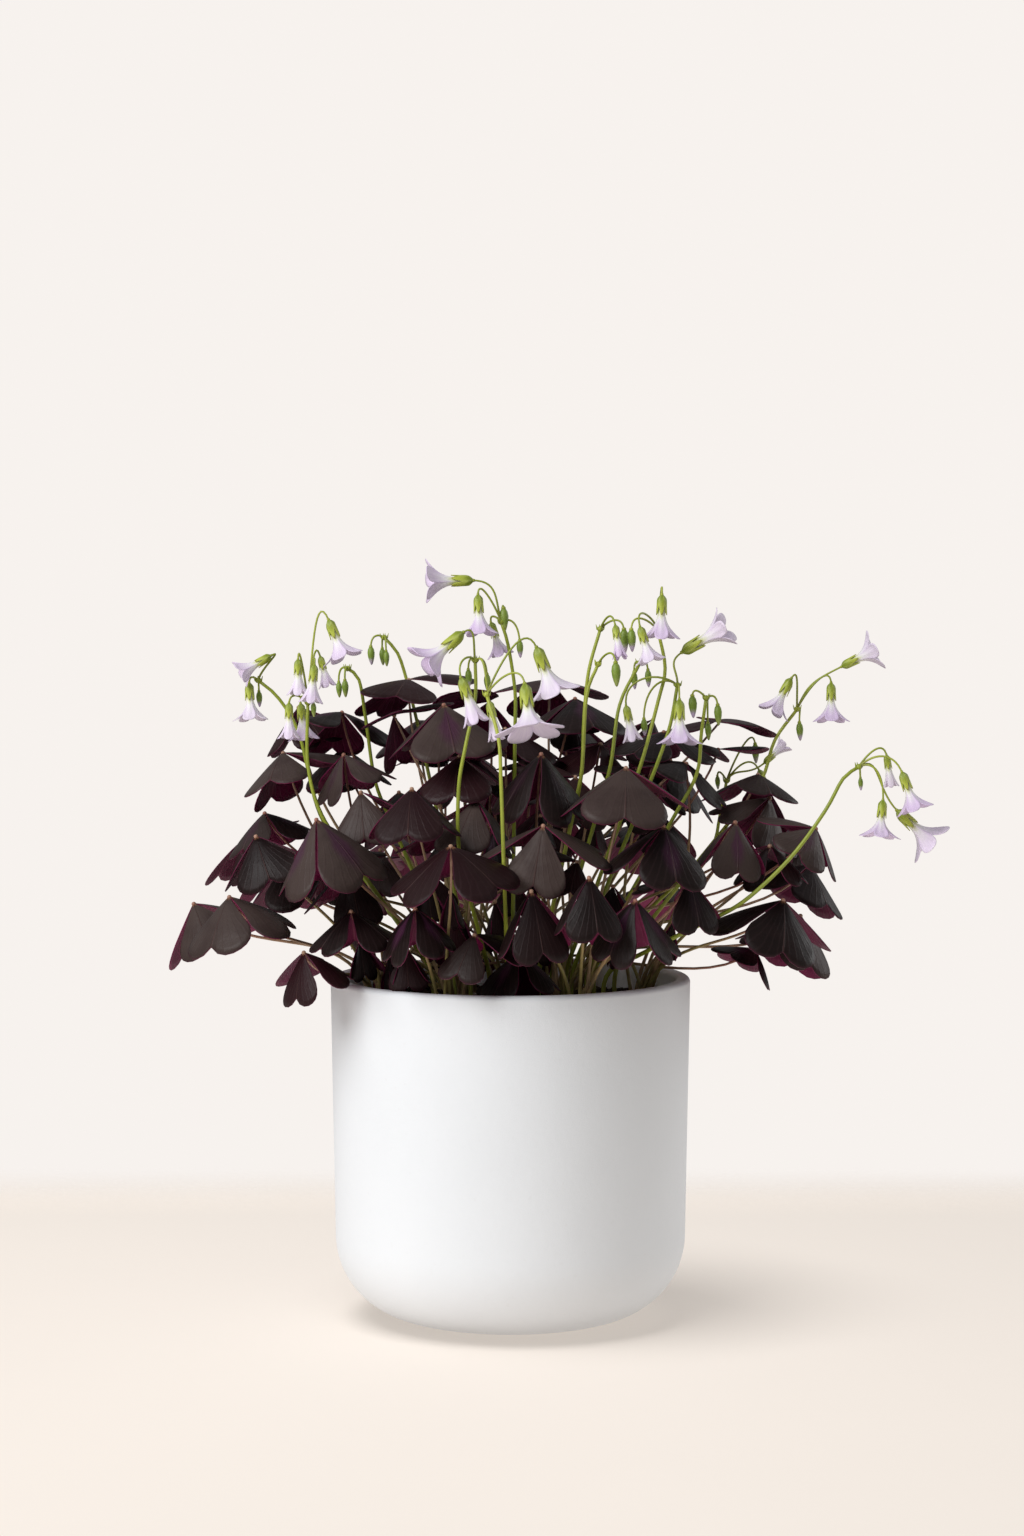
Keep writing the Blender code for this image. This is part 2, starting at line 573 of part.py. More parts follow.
def joined_rings(verts, few, many):
    """Triangles between two rings with different numbers of vertices, by nearest direction."""
    middle = np.mean([verts[i] for i in few], axis=0)
    centre = np.mean([verts[i] for i in many], axis=0)
    close = [
        max(range(len(few)), key=lambda j: float(unit(verts[few[j]] - middle) @ unit(verts[i] - centre)))
        for i in many
    ]
    faces = []
    for i, j in enumerate(close):
        after = (i + 1) % len(many)
        faces.append((few[j], many[after], many[i]))
        step = j
        while step != close[after]:
            faces.append((few[step], few[(step + 1) % len(few)], many[after]))
            step = (step + 1) % len(few)
    return faces


def corolla_mesh(base, facing, size, opening):
    """A funnel whose mouth spreads into five petal lobes."""
    offsets = ring_offsets(facing, FLOWER_SIDES)
    halves = offsets + np.roll(offsets, -1, axis=0)
    halves = halves / np.linalg.norm(halves, axis=1)[:, None]
    tip = (2.6 + 5.6 * opening, 20.5 - 1.2 * opening)
    notch = (2.5 + 2.9 * opening, 17.0 - 0.4 * opening)
    at = lambda radius, height, ways: base + facing * height * size * MM + ways * radius * size * MM
    verts = [base + facing * COROLLA_APEX * size * MM]
    verts += list(at(*COROLLA_OUT, offsets))
    for inset in (0.0, PETAL_THICK):
        mouth = zip(at(tip[0] - inset, tip[1] + inset * 0.4, offsets), at(notch[0] - inset, notch[1] + inset * 0.4, halves))
        verts += [v for pair in mouth for v in pair]
    verts.append(base + facing * COROLLA_INSIDE_APEX * size * MM)
    second, outer, inner, deep = 1, 6, 16, 26
    faces = [(0, second + (i + 1) % 5, second + i) for i in range(5)]
    for i in range(5):
        j = (i + 1) % 5
        a, b, c = outer + 2 * i, outer + 2 * i + 1, outer + 2 * j
        faces += [(second + i, b, a), (second + i, second + j, b), (second + j, c, b)]
        a, b, c = inner + 2 * i, inner + 2 * i + 1, inner + 2 * j
        faces += [(deep, a, b), (deep, b, c)]
    faces += bridge(outer, inner, 10)
    return np.array(verts), faces


def cut_from(verts, faces, place, distance):
    """The faces that lie further than a distance from a place, for tests beside an umbel."""
    near = np.linalg.norm(verts - place, axis=1) < distance
    return verts, [f for f in faces if not any(near[i] for i in f)]


def settle_scapes(space):
    """Each flower stem with its blooms and buds, bent clear of all before it."""
    found = []
    for number, scape in enumerate(SCAPES):
        points = scape_path(scape)
        moves = random.Random(SEED + 7 * number)
        for trial in range(MOST_TRIES):
            way = 0.2 * trial * MM
            push = np.array([moves.uniform(-way, way) for _ in range(2)] + [0.0])
            bent = [points[0] + push * 0.5, points[1] + push * 0.5, *[p + push for p in points[2:]]]
            path = smooth_path(bent, SCAPE_STEP)
            radii = np.linspace(SCAPE_RADIUS, SCAPE_RADIUS * 0.75, len(path))
            foot = hole(SCAPE_RADIUS + 1.1 * MM, 6, path[0], SCAPE_DEPTH)
            stem = tube(path, radii + CLEAR, SCAPE_SIDES)
            if space.clear(*stem, scape.name) and space.clear(*foot, scape.name):
                break
        umbel = path[-1]
        space.add(*stem, scape.name, 1.0)
        space.add(*foot, scape.name, 1.0)
        short = path.copy()
        short[-1] += unit(path[-2] - path[-1]) * 5 * MM
        space.add(*tube(short, radii + CLEAR, SCAPE_SIDES), "", 1.0)
        heads = [("bloom", np.array(b[:3]) * MM, unit(np.array(b[3:6], float)), b[6], b[7]) for b in scape.blooms]
        heads += [("bud", np.array(b[:3]) * MM, unit(np.array((0.05, -0.05, -1.0))), b[3], 0.0) for b in scape.buds]
        placed = []
        for kind, base, facing, size, opening in heads:
            for trial in range(MOST_TRIES):
                way = 0.12 * trial * MM
                at = base + np.array([moves.uniform(-way, way) for _ in range(3)])
                solids = [cut_from(*head_mesh(umbel, at, facing, size, kind, CLEAR), umbel, 4.5 * MM)]
                if kind == "bloom":
                    solids.append(corolla_mesh(at - facing * CLEAR, facing, size * 1.08, opening))
                if all(space.clear(*s, scape.name) for s in solids):
                    break
            for solid in solids:
                if solid[1]:
                    space.add(*solid, "", 1.0)
            placed.append((kind, at, facing, size, opening, umbel))
        found.append((scape.name, path, radii, placed))
    return found


def empty_scene():
    for obj in list(bpy.data.objects):
        bpy.data.objects.remove(obj)


def material(name):
    made = bpy.data.materials.get(name)
    if made is None:
        colour, rough = COLOURS[name]
        made = bpy.data.materials.new(name)
        made.use_nodes = True
        shader = made.node_tree.nodes["Principled BSDF"]
        shader.inputs["Base Color"].default_value = (*colour, 1.0)
        shader.inputs["Roughness"].default_value = rough
        shader.inputs["Metallic"].default_value = 0.0
    return made


def solid(name, verts, faces, look, collection=None):
    """An object from vertices and faces, with its faces turned outwards."""
    mesh = bpy.data.meshes.new(name)
    mesh.from_pydata([tuple(v) for v in verts], [], [tuple(f) for f in faces])
    shaped = bmesh.new()
    shaped.from_mesh(mesh)
    bmesh.ops.recalc_face_normals(shaped, faces=shaped.faces)
    if shaped.calc_volume(signed=True) < 0:
        bmesh.ops.reverse_faces(shaped, faces=shaped.faces)
    bmesh.ops.triangulate(shaped, faces=shaped.faces)
    shaped.to_mesh(mesh)
    shaped.free()
    mesh.materials.append(material(look))
    made = bpy.data.objects.new(name, mesh)
    (collection or bpy.context.scene.collection).objects.link(made)
    return made


def fill_pockets(mesh):
    """Removes each closed shell that faces inwards: a pocket that crossing stems shut off."""
    shaped = bmesh.new()
    shaped.from_mesh(mesh)
    left = set(shaped.verts)
    while left:
        shell, edge = set(), {left.pop()}
        while edge:
            shell |= edge
            edge = {e.other_vert(v) for v in edge for e in v.link_edges} - shell
        left -= shell
        faces = {f for v in shell for f in v.link_faces}
        volume = sum(f.calc_center_median().dot(f.normal) * f.calc_area() for f in faces)
        if volume <= 0:
            bmesh.ops.delete(shaped, geom=list(shell), context="VERTS")
    shaped.to_mesh(mesh)
    shaped.free()


def join_with(body, parts, operation):
    """One Boolean of a collection on a body, applied, with the collection's objects then removed."""
    group = bpy.data.collections.new(body.name + "_parts")
    bpy.context.scene.collection.children.link(group)
    for index, (verts, faces) in enumerate(parts):
        solid(f"{body.name}_part{index}", verts, faces, body.data.materials[0].name, group)
    modifier = body.modifiers.new("join", "BOOLEAN")
    modifier.operation = operation
    modifier.operand_type = "COLLECTION"
    modifier.collection = group
    modifier.solver = "MANIFOLD"
    bpy.context.view_layer.update()
    graph = bpy.context.evaluated_depsgraph_get()
    joined = bpy.data.meshes.new_from_object(body.evaluated_get(graph))
    body.modifiers.clear()
    fill_pockets(joined)
    body.data = joined
    for part in list(group.objects):
        bpy.data.objects.remove(part)
    bpy.data.collections.remove(group)


def pot_outline(inset):
    """(radius, height) rings from the foot up the outside, at a distance in from the skin."""
    corner = POT_CORNER - inset
    angles = np.linspace(-math.pi / 2, 0, CORNER_STEPS + 1)
    middle = POT_SIDE_RADIUS - POT_CORNER
    return [(middle + corner * math.cos(a), POT_CORNER + corner * math.sin(a)) for a in angles]


def pot_rings():
    outside = pot_outline(0.0)
    inside = pot_outline(POT_WALL)
    inner_rim = POT_RIM_RADIUS - POT_WALL
    rim = [
        (POT_RIM_RADIUS, POT_HEIGHT - RIM_ROUND), (POT_RIM_RADIUS - 0.6 * MM, POT_HEIGHT - 0.6 * MM),
        (POT_RIM_RADIUS - RIM_ROUND, POT_HEIGHT), (inner_rim + RIM_ROUND, POT_HEIGHT),
        (inner_rim + 0.6 * MM, POT_HEIGHT - 0.6 * MM), (inner_rim, POT_HEIGHT - RIM_ROUND),
    ]
    walls = [(r, z) for r, z in reversed(inside) if z > POT_FLOOR]
    return [*outside, *rim, *walls, (walls[-1][0] * 0.9, POT_FLOOR), (0.0, POT_FLOOR)]


def soil_rings():
    walls = [(r, z) for r, z in pot_outline(POT_WALL + GAP) if z > POT_FLOOR + GAP]
    top = POT_RIM_RADIUS - POT_WALL - GAP
    share = (SOIL_TOP - POT_CORNER) / (POT_HEIGHT - RIM_ROUND - POT_CORNER)
    side = walls[-1][0] + (top - walls[-1][0]) * share
    return [(walls[0][0] * 0.9 - GAP, POT_FLOOR + GAP), *walls, (side, SOIL_TOP)]


def hole(radius, sides, at, depth):
    """A plain prism that cuts a hole down into the soil."""
    bottom = np.array((at[0], at[1], SOIL_TOP - depth))
    return lathe([(radius, 0.0), (radius, depth + 3 * MM)], sides, UP, bottom)


def crown_mesh(at):
    rings = [(r * MM, z * MM) for r, z in CROWN_PROFILE]
    return lathe([*rings, (0.0, 2.6 * MM)], CROWN_SIDES, UP, at)


def build_pot():
    verts, faces = lathe(pot_rings(), POT_SIDES)
    pot = solid("pot", verts, faces, "pot")
    pot.data.shade_smooth()
    pot.data.set_sharp_from_angle(angle=math.radians(40))
    return verts, faces


def build_soil(crowns, scapes):
    verts, faces = lathe(soil_rings(), POT_SIDES)
    soil = solid("soil", verts, faces, "soil")
    room = 1 / math.cos(math.pi / CROWN_SIDES)
    depth = -CROWN_PROFILE[0][1] * MM + GAP
    holes = [hole(CROWN_RADIUS + GAP * room, CROWN_SIDES, at, depth) for at in crowns]
    for _, path, radii, _ in scapes:
        holes.append(hole(SCAPE_RADIUS + GAP * 1.7, 6, path[0], SCAPE_DEPTH + GAP))
    join_with(soil, holes, "DIFFERENCE")


def build_clumps(crowns, leaves):
    for number, at in enumerate(crowns):
        own = [leaf_mesh(shape, root) for home, root, shape in leaves if home == number]
        verts, faces = crown_mesh(at)
        clump = solid(f"leaf_clump_{number + 1:02d}", verts, faces, "leaf")
        join_with(clump, own, "UNION")


def build_scapes(scapes):
    for name, path, radii, heads in scapes:
        verts, faces = tube(path, radii, SCAPE_SIDES)
        scape = solid(f"flower_stem_{name}", verts, faces, "stem")
        knot = lathe([(0.5 * MM, -1.6 * MM), (1.5 * MM, -0.2 * MM), (0.4 * MM, 1.4 * MM)], 5, UP, path[-1])
        parts = [knot]
        for kind, base, facing, size, _, umbel in heads:
            parts.append(head_mesh(umbel, base, facing, size, kind))
        join_with(scape, parts, "UNION")
        blooms = [h for h in heads if h[0] == "bloom"]
        for number, (_, base, facing, size, opening, _) in enumerate(blooms):
            verts, faces = corolla_mesh(base, facing, size, opening)
            solid(f"corolla_{name}_{number + 1}", verts, faces, "petal")


def main():
    empty_scene()
    pot = build_pot()
    crowns = crown_places()
    space = Space()
    space.add(*pot, "pot", 1.0)
    for number, at in enumerate(crowns):
        room = hole(CROWN_RADIUS + 1.2 * MM, CROWN_SIDES, at, 13 * MM)
        space.add(*room, f"crown{number}", 1.0)
    scapes = settle_scapes(space)
    leaves = settle_leaves(space, crowns)
    build_soil(crowns, scapes)
    build_clumps(crowns, leaves)
    build_scapes(scapes)
    return scapes, leaves


main()
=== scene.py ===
"""Looks of the purple shamrock in its white pot.

The leaves and flower stems stand where the solids do: the same lists, rules and seeds place
them here again, and finer meshes with their own materials are built on those places.
"""
import math
import random
from collections import namedtuple

import bpy
import numpy as np
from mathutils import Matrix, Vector
from mathutils.bvhtree import BVHTree


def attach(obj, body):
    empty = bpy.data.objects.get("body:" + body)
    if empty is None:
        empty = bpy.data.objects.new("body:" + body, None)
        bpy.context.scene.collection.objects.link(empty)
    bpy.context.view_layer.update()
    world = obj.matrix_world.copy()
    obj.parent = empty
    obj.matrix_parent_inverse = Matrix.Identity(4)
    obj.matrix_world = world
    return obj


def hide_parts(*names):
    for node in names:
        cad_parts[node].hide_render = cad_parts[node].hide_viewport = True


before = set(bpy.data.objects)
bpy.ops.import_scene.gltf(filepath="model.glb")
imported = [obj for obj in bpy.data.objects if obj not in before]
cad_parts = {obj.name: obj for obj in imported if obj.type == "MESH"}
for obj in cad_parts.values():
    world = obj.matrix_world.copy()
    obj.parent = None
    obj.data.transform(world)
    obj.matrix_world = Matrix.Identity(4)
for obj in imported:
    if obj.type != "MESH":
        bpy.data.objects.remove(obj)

MM = 0.001

# Pot and soil
POT_HEIGHT = 152 * MM
POT_RIM_RADIUS = 80 * MM
POT_SIDE_RADIUS = 78 * MM
POT_CORNER = 37 * MM
POT_WALL = 6.5 * MM
POT_FLOOR = 9 * MM
RIM_ROUND = 2.2 * MM
POT_SIDES = 32
CORNER_STEPS = 4
SOIL_TOP = 140 * MM
GAP = 0.35 * MM

# Rhizome crowns: rings of (number, distance from the axis, first azimuth)
CROWN_RINGS = ((1, 0.0, 0.0), (4, 31 * MM, 40.0), (6, 58 * MM, 30.0))
CROWN_RADIUS = 6.0 * MM
CROWN_SIDES = 6
MOST_ON_A_CROWN = 8
ROOT_SPREAD = 3.5 * MM
ROOT_DEPTH = 0.6 * MM
FUSED_BELOW = SOIL_TOP + 4 * MM

# Leaves
BLADE_THICK = 0.7 * MM
HALF_ANGLE = math.radians(46)
WIDEST_AT_HUB = math.radians(55)
NARROWING = 0.95
MOST_NARROWING = 8
OUTLINE = ((0.0, 0.88), (0.2, 0.97), (0.45, 1.02), (0.7, 0.99), (0.88, 0.88), (1.0, 0.68))
RIM_STOPS = (1.0, 0.68, 0.0)
HUB_RING = 1.1 * MM
HUB_DEPTH = 1.0 * MM
STALK_RING = 0.65 * MM
STALK_ROOT_RADIUS = 0.85 * MM
STALK_STEPS = 4
STEEP_ENOUGH = 1.0
CANOPY_TOP = 281 * MM
CANOPY_FALL = 3.7
STALK_TO_CROWN = 0.50
BACK_LEAVES = 28
GOLDEN_ANGLE = 137.508
CLEAR = 0.4 * MM
MOST_TRIES = 300
STALK_TRIES = 16
SEED = 41

# Flowers
SCAPE_SIDES = 4
SCAPE_RADIUS = 1.05 * MM
SCAPE_DEPTH = 11 * MM
SCAPE_STEP = 26 * MM
PEDICEL_RADIUS = 0.5 * MM
PEDICEL_STEPS = 3
FLOWER_SIDES = 5
CUP_PROFILE = ((1.9, 2.0), (2.4, 6.0))
CUP_INSIDE = ((1.75, 6.0), (0.0, 2.5))
BUD_PROFILE = ((1.35, 2.6), (0.95, 5.0), (0.0, 7.0))
COROLLA_APEX = 3.1
COROLLA_OUT = (2.3, 11.0)
COROLLA_INSIDE_APEX = 9.4
PETAL_THICK = 0.62

Leaf = namedtuple("Leaf", "x y z heading droop tilt length")
# Leaves that show from the front: hub in mm, heading of the first leaflet
# (0 faces the viewer, 90 to the right), droop and tilt in degrees, leaflet length in mm.
FRONT_LEAVES = [Leaf(*row) for row in (
    (-40, -70, 240, 2, 40, 12, 30), (-25, -92, 217, 52, 34, 14, 31), (13, -62, 255, 58, 36, 10, 32),
    (49, -75, 249, 4, 30, 12, 32), (65, -72, 224, 24, 38, 14, 30), (13, -78, 221, -4, 36, 12, 33),
    (9, -88, 198, 22, 52, 14, 31), (53, -84, 195, -38, 46, 14, 31), (118, -45, 190, 18, 32, 22, 33),
    (122, -36, 210, 12, 30, 20, 28), (134, 8, 201, 40, 26, 24, 29), (-83, -60, 226, 48, 46, 12, 36),
    (-111, -30, 217, 4, 40, 22, 27), (-109, 10, 225, -40, 28, 20, 26), (-122, -40, 191, 84, 34, 16, 32),
    (-141, -8, 184, -4, 34, 26, 29), (-97, -38, 184, -10, 60, 12, 29), (-31, -58, 171, 60, 62, 0, 26),
    (4, -57, 163, 74, 30, -4, 27), (-62, -60, 187, 50, 56, 6, 25), (-40, -76, 189, 56, 40, 8, 25),
    (45, -66, 212, -12, 24, 8, 25), (81, -66, 206, 58, 28, 14, 26), (97, -48, 224, 20, 46, 12, 27),
    (112, -12, 225, 14, 36, 20, 28), (105, 6, 236, 80, 20, 14, 30), (80, -18, 247, -20, 22, 10, 27),
    (106, 34, 243, 100, 18, 16, 27), (68, -4, 261, -38, 18, 8, 28), (87, 36, 258, 30, 20, 12, 28),
    (29, 18, 275, 20, 18, 2, 30), (-29, -30, 274, 6, 34, 8, 34), (-45, 14, 282, 30, 8, -6, 31),
    (-72, 16, 267, 70, 18, 6, 29), (-67, -46, 238, 4, 38, 12, 28), (-97, -6, 247, -24, 18, 26, 32),
    (-78, -28, 251, 40, 22, 12, 26), (-55, -8, 259, 66, 20, 8, 29), (-17, -38, 243, -50, 26, 8, 30),
    (-10, -54, 224, 30, 30, 8, 31), (-2, 8, 262, -44, 24, 2, 30), (39, -34, 228, 36, 28, 8, 29),
    (101, -44, 199, -30, 38, 16, 28), (107, 20, 174, 20, 44, 20, 23), (130, 10, 178, 36, 40, 20, 30),
    (33, -94, 204, 20, 50, 14, 28), (-12, -72, 192, -60, 46, 8, 27), (43, 14, 258, 66, 20, 4, 28),
    (24, -24, 242, 10, 24, 4, 29), (-8, -58, 193, 12, 50, 8, 28), (32, -52, 187, -24, 52, 10, 27),
    (-66, -34, 206, 20, 46, 12, 28), (72, -36, 192, 44, 46, 12, 27), (-24, -34, 214, 70, 40, 6, 28),
    (-88, -16, 209, 36, 40, 18, 27),
)]

Scape = namedtuple("Scape", "name path blooms buds")
# Flower stems: points in mm from above the soil up to the umbel. Each bloom gives its cup's
# base and the way that it faces, its size and how far it opens; each bud its base and size.
SCAPES = [Scape(*row) for row in (
    ("left_outer", ((-84, -12, 225), (-93, -12, 260), (-102, -12, 276), (-111, -12, 284)),
     ((-105, -16, 295, -0.85, -0.1, -0.5, 0.85, 0.8), (-115, -12, 283, 0.05, -0.1, -1, 0.9, 1.0)),
     ((-111, -8, 279, 1.0),)),
    ("left_inner", ((-82, -34, 226), (-88, -34, 248), (-88, -33, 275)),
     ((-92, -36, 294, 0.0, 0, -1, 0.8, 0.6), (-86, -38, 294, -0.1, 0, -1, 0.85, 0.6),
      (-91, -28, 276, 0.1, 0, -1, 0.85, 0.9), (-97, -34, 276, 0.0, 0, -1, 0.8, 0.6),
      (-79, -32, 311, 0.4, -0.1, -1, 1.0, 1.1), (-83, -26, 295, 0.25, 0, -1, 0.7, 0.5)),
     ((-85, -38, 276, 0.9),)),
    ("left_back", ((-43, 32, 267), (-47, 32, 283), (-51, 31, 295), (-57, 30, 302)),
     (), ((-63, 28, 298, 1.2), (-56, 26, 296, 1.0), (-58, 33, 297, 1.1))),
    ("left_bent", ((-60, -2, 239), (-64, -3, 266), (-67, -4, 284), (-72, -5, 289)),
     (), ((-73, -9, 284, 1.1), (-76, -3, 283, 1.0))),
    ("middle_low", ((-22, -62, 213), (-22, -66, 240), (-19, -66, 258), (-15, -62, 278), (-15, -60, 294)),
     ((-20, -64, 306, -0.75, -0.15, -0.65, 1.2, 1.1), (-21, -70, 287, 0.35, -0.05, -1, 1.05, 0.5),
      (-9, -68, 277, 0.2, -0.1, -1, 0.85, 0.3)),
     ((-18, -56, 290, 1.1), (-10, -56, 288, 1.1))),
    ("middle_front", ((-3, -84, 216), (-4, -88, 246), (-5, -86, 262), (-10, -78, 280)),
     ((6, -88, 285, 0.12, -0.3, -1, 1.25, 1.5), (11, -76, 300, 0.38, 0.0, -1, 1.2, 1.2)), ()),
    ("middle_tall", ((2, -34, 262), (2, -34, 280), (-1, -34, 300), (-4, -34, 310)),
     ((-16, -36, 328, -1, -0.05, -0.02, 1.1, 1.0), (-14, -38, 322, 0.05, -0.1, -1, 0.95, 1.0),
      (-8, -30, 310, 0.3, 0.0, -1, 0.8, 0.8)),
     ((-3, -33, 316, 1.5), (4, -32, 302, 1.1))),
    ("right_first", ((36, -46, 246), (37, -45, 269), (39, -45, 289), (44, -44, 307)),
     ((45, -49, 309, 0.15, -0.3, -1, 0.75, 0.3),), ((49, -42, 307, 1.5),)),
    ("right_second", ((39, -56, 246), (41, -54, 278), (46, -53, 292)), (), ((45, -57, 293, 1.5),)),
    ("right_third", ((44, -38, 248), (48, -34, 274), (57, -28, 292)), (),
     ((54, -24, 288, 1.1), (60, -26, 289, 1.1))),
    ("right_tall", ((50, -52, 250), (57, -51, 276), (60, -50, 290), (57, -50, 306)),
     ((65, -52, 322, -0.02, 0, -1, 1.0, 0.9), (56, -56, 308, 0.3, -0.1, -1, 0.85, 0.9)),
     ((52, -47, 307, 1.4),)),
    ("right_fourth", ((54, -40, 248), (60, -40, 266), (63, -40, 283)),
     ((74, -42, 297, 0.85, -0.15, 0.5, 1.2, 0.8), (67, -46, 282, 0.0, -0.1, -1, 1.05, 1.1),
      (50, -40, 274, 0.2, 0, -1, 0.8, 0.5)),
     ((58, -34, 268, 1.1),)),
    ("right_low", ((81, -34, 244), (83, -34, 262), (85, -34, 277)), (),
     ((90, -34, 274, 1.3), (86, -30, 266, 1.1), (79, -34, 278, 1.4))),
    ("right_outer", ((113, 22, 238), (119, 22, 256), (129, 22, 270)),
     ((126, 18, 284, -0.55, -0.1, -1, 0.95, 0.9), (149, 24, 289, 0.9, 0, 0.45, 0.95, 1.2),
      (144, 20, 282, 0.0, -0.1, -1, 0.95, 1.0)),
     ((130, 22, 264, 1.2),)),
    ("far_right", ((100, -54, 190), (120, -56, 209), (135, -54, 229), (143, -52, 243), (150, -50, 248)),
     ((162, -48, 253, 0.15, 0, -1, 0.7, 0.4), (168, -54, 246, 0.35, -0.1, -1, 0.95, 1.0),
      (160, -54, 234, -0.1, -0.1, -1, 0.9, 1.2), (167, -46, 230, 0.75, 0, -0.7, 1.15, 1.1)),
     ((151, -46, 243, 0.8),)),
    ("behind", ((92, 50, 205), (96, 50, 220), (99, 50, 236)),
     ((116, 50, 244, 0.65, 0, 0.6, 0.7, 0.6), (114, 54, 241, 0.4, 0, -1, 0.75, 0.9)),
     ((112, 50, 253, 1.3), (95, 54, 238, 0.9))),
)]


def unit(v):
    return v / np.linalg.norm(v)


def heading_vector(degrees):
    """A level unit vector: 0 faces the viewer at -Y, 90 points to +X."""
    a = math.radians(degrees)
    return np.array((math.sin(a), -math.cos(a), 0.0))


UP = np.array((0.0, 0.0, 1.0))


def bezier(p0, p1, p2, p3, steps):
    t = np.linspace(0.0, 1.0, steps + 1)[:, None]
    s = 1.0 - t
    return s**3 * p0 + 3 * s * s * t * p1 + 3 * s * t * t * p2 + t**3 * p3


def smooth_path(points, step):
    """Points read about a step apart from a Catmull-Rom curve through the given ones."""
    p = np.array([2 * points[0] - points[1], *points, 2 * points[-1] - points[-2]])
    found = []
    for a, b, c, d in zip(p, p[1:], p[2:], p[3:]):
        count = max(1, round(float(np.linalg.norm(c - b)) / step))
        for t in np.arange(count) / count:
            found.append(
                0.5 * (2 * b + (c - a) * t + (2 * a - 5 * b + 4 * c - d) * t * t
                       + (3 * b - a - 3 * c + d) * t**3)
            )
    return np.array([*found, points[-1]])


def turned(vectors, before, after):
    """Vectors carried from one tangent to the next with no twist."""
    axis = np.cross(before, after)
    s, c = float(np.linalg.norm(axis)), float(before @ after)
    if s < 1e-9:
        return vectors
    axis = axis / s
    along = (vectors @ axis)[:, None] * axis
    return vectors * c + np.cross(axis, vectors) * s + along * (1 - c)


def tangents(path):
    t = np.gradient(path, axis=0)
    return t / np.linalg.norm(t, axis=1)[:, None]


def ring_offsets(direction, sides):
    side = unit(np.cross(direction, (0.31, 0.87, 0.39)))
    other = np.cross(direction, side)
    a = np.arange(sides) * 2 * math.pi / sides
    return np.cos(a)[:, None] * side + np.sin(a)[:, None] * other


def bridge(first, second, sides):
    """Quads between two rings of vertices that start at these indices."""
    return [(first + i, first + (i + 1) % sides, second + (i + 1) % sides, second + i) for i in range(sides)]


def tube(path, radii, sides):
    """Vertices and faces of a closed tube along a path."""
    tan = tangents(path)
    offsets = ring_offsets(tan[0], sides)
    verts = [path[0] + offsets * radii[0]]
    for i in range(1, len(path)):
        offsets = turned(offsets, tan[i - 1], tan[i])
        verts.append(path[i] + offsets * radii[i])
    faces = [tuple(reversed(range(sides)))]
    for i in range(len(path) - 1):
        faces += bridge(i * sides, (i + 1) * sides, sides)
    last = (len(path) - 1) * sides
    return np.concatenate(verts), [*faces, tuple(range(last, last + sides))]


def lathe(rings, sides, axis=UP, base=np.zeros(3)):
    """A closed solid of revolution. Each ring is (radius, height along axis), and radius 0 is a point."""
    if axis is UP:
        a = np.arange(sides) * 2 * math.pi / sides
        offsets = np.stack([np.cos(a), np.sin(a), np.zeros(sides)], 1)
    else:
        offsets = ring_offsets(axis, sides)
    verts, faces, starts = [], [], []
    for radius, height in rings:
        starts.append((len(verts), radius == 0.0))
        at = base + axis * height
        verts += [at] if radius == 0.0 else list(at + offsets * radius)
    for (a, a_point), (b, b_point) in zip(starts, starts[1:]):
        if a_point:
            faces += [(a, b + (i + 1) % sides, b + i) for i in range(sides)]
        elif b_point:
            faces += [(a + i, a + (i + 1) % sides, b) for i in range(sides)]
        else:
            faces += bridge(a, b, sides)
    if not starts[0][1]:
        faces.append(tuple(reversed(range(sides))))
    if not starts[-1][1]:
        last = starts[-1][0]
        faces.append(tuple(range(last, last + sides)))
    return np.array(verts), faces


def outline_radius(share):
    """Leaflet radius from the hub, as a share of its length, at this share of its half angle."""
    return float(np.interp(share, [s for s, _ in OUTLINE], [r for _, r in OUTLINE]))


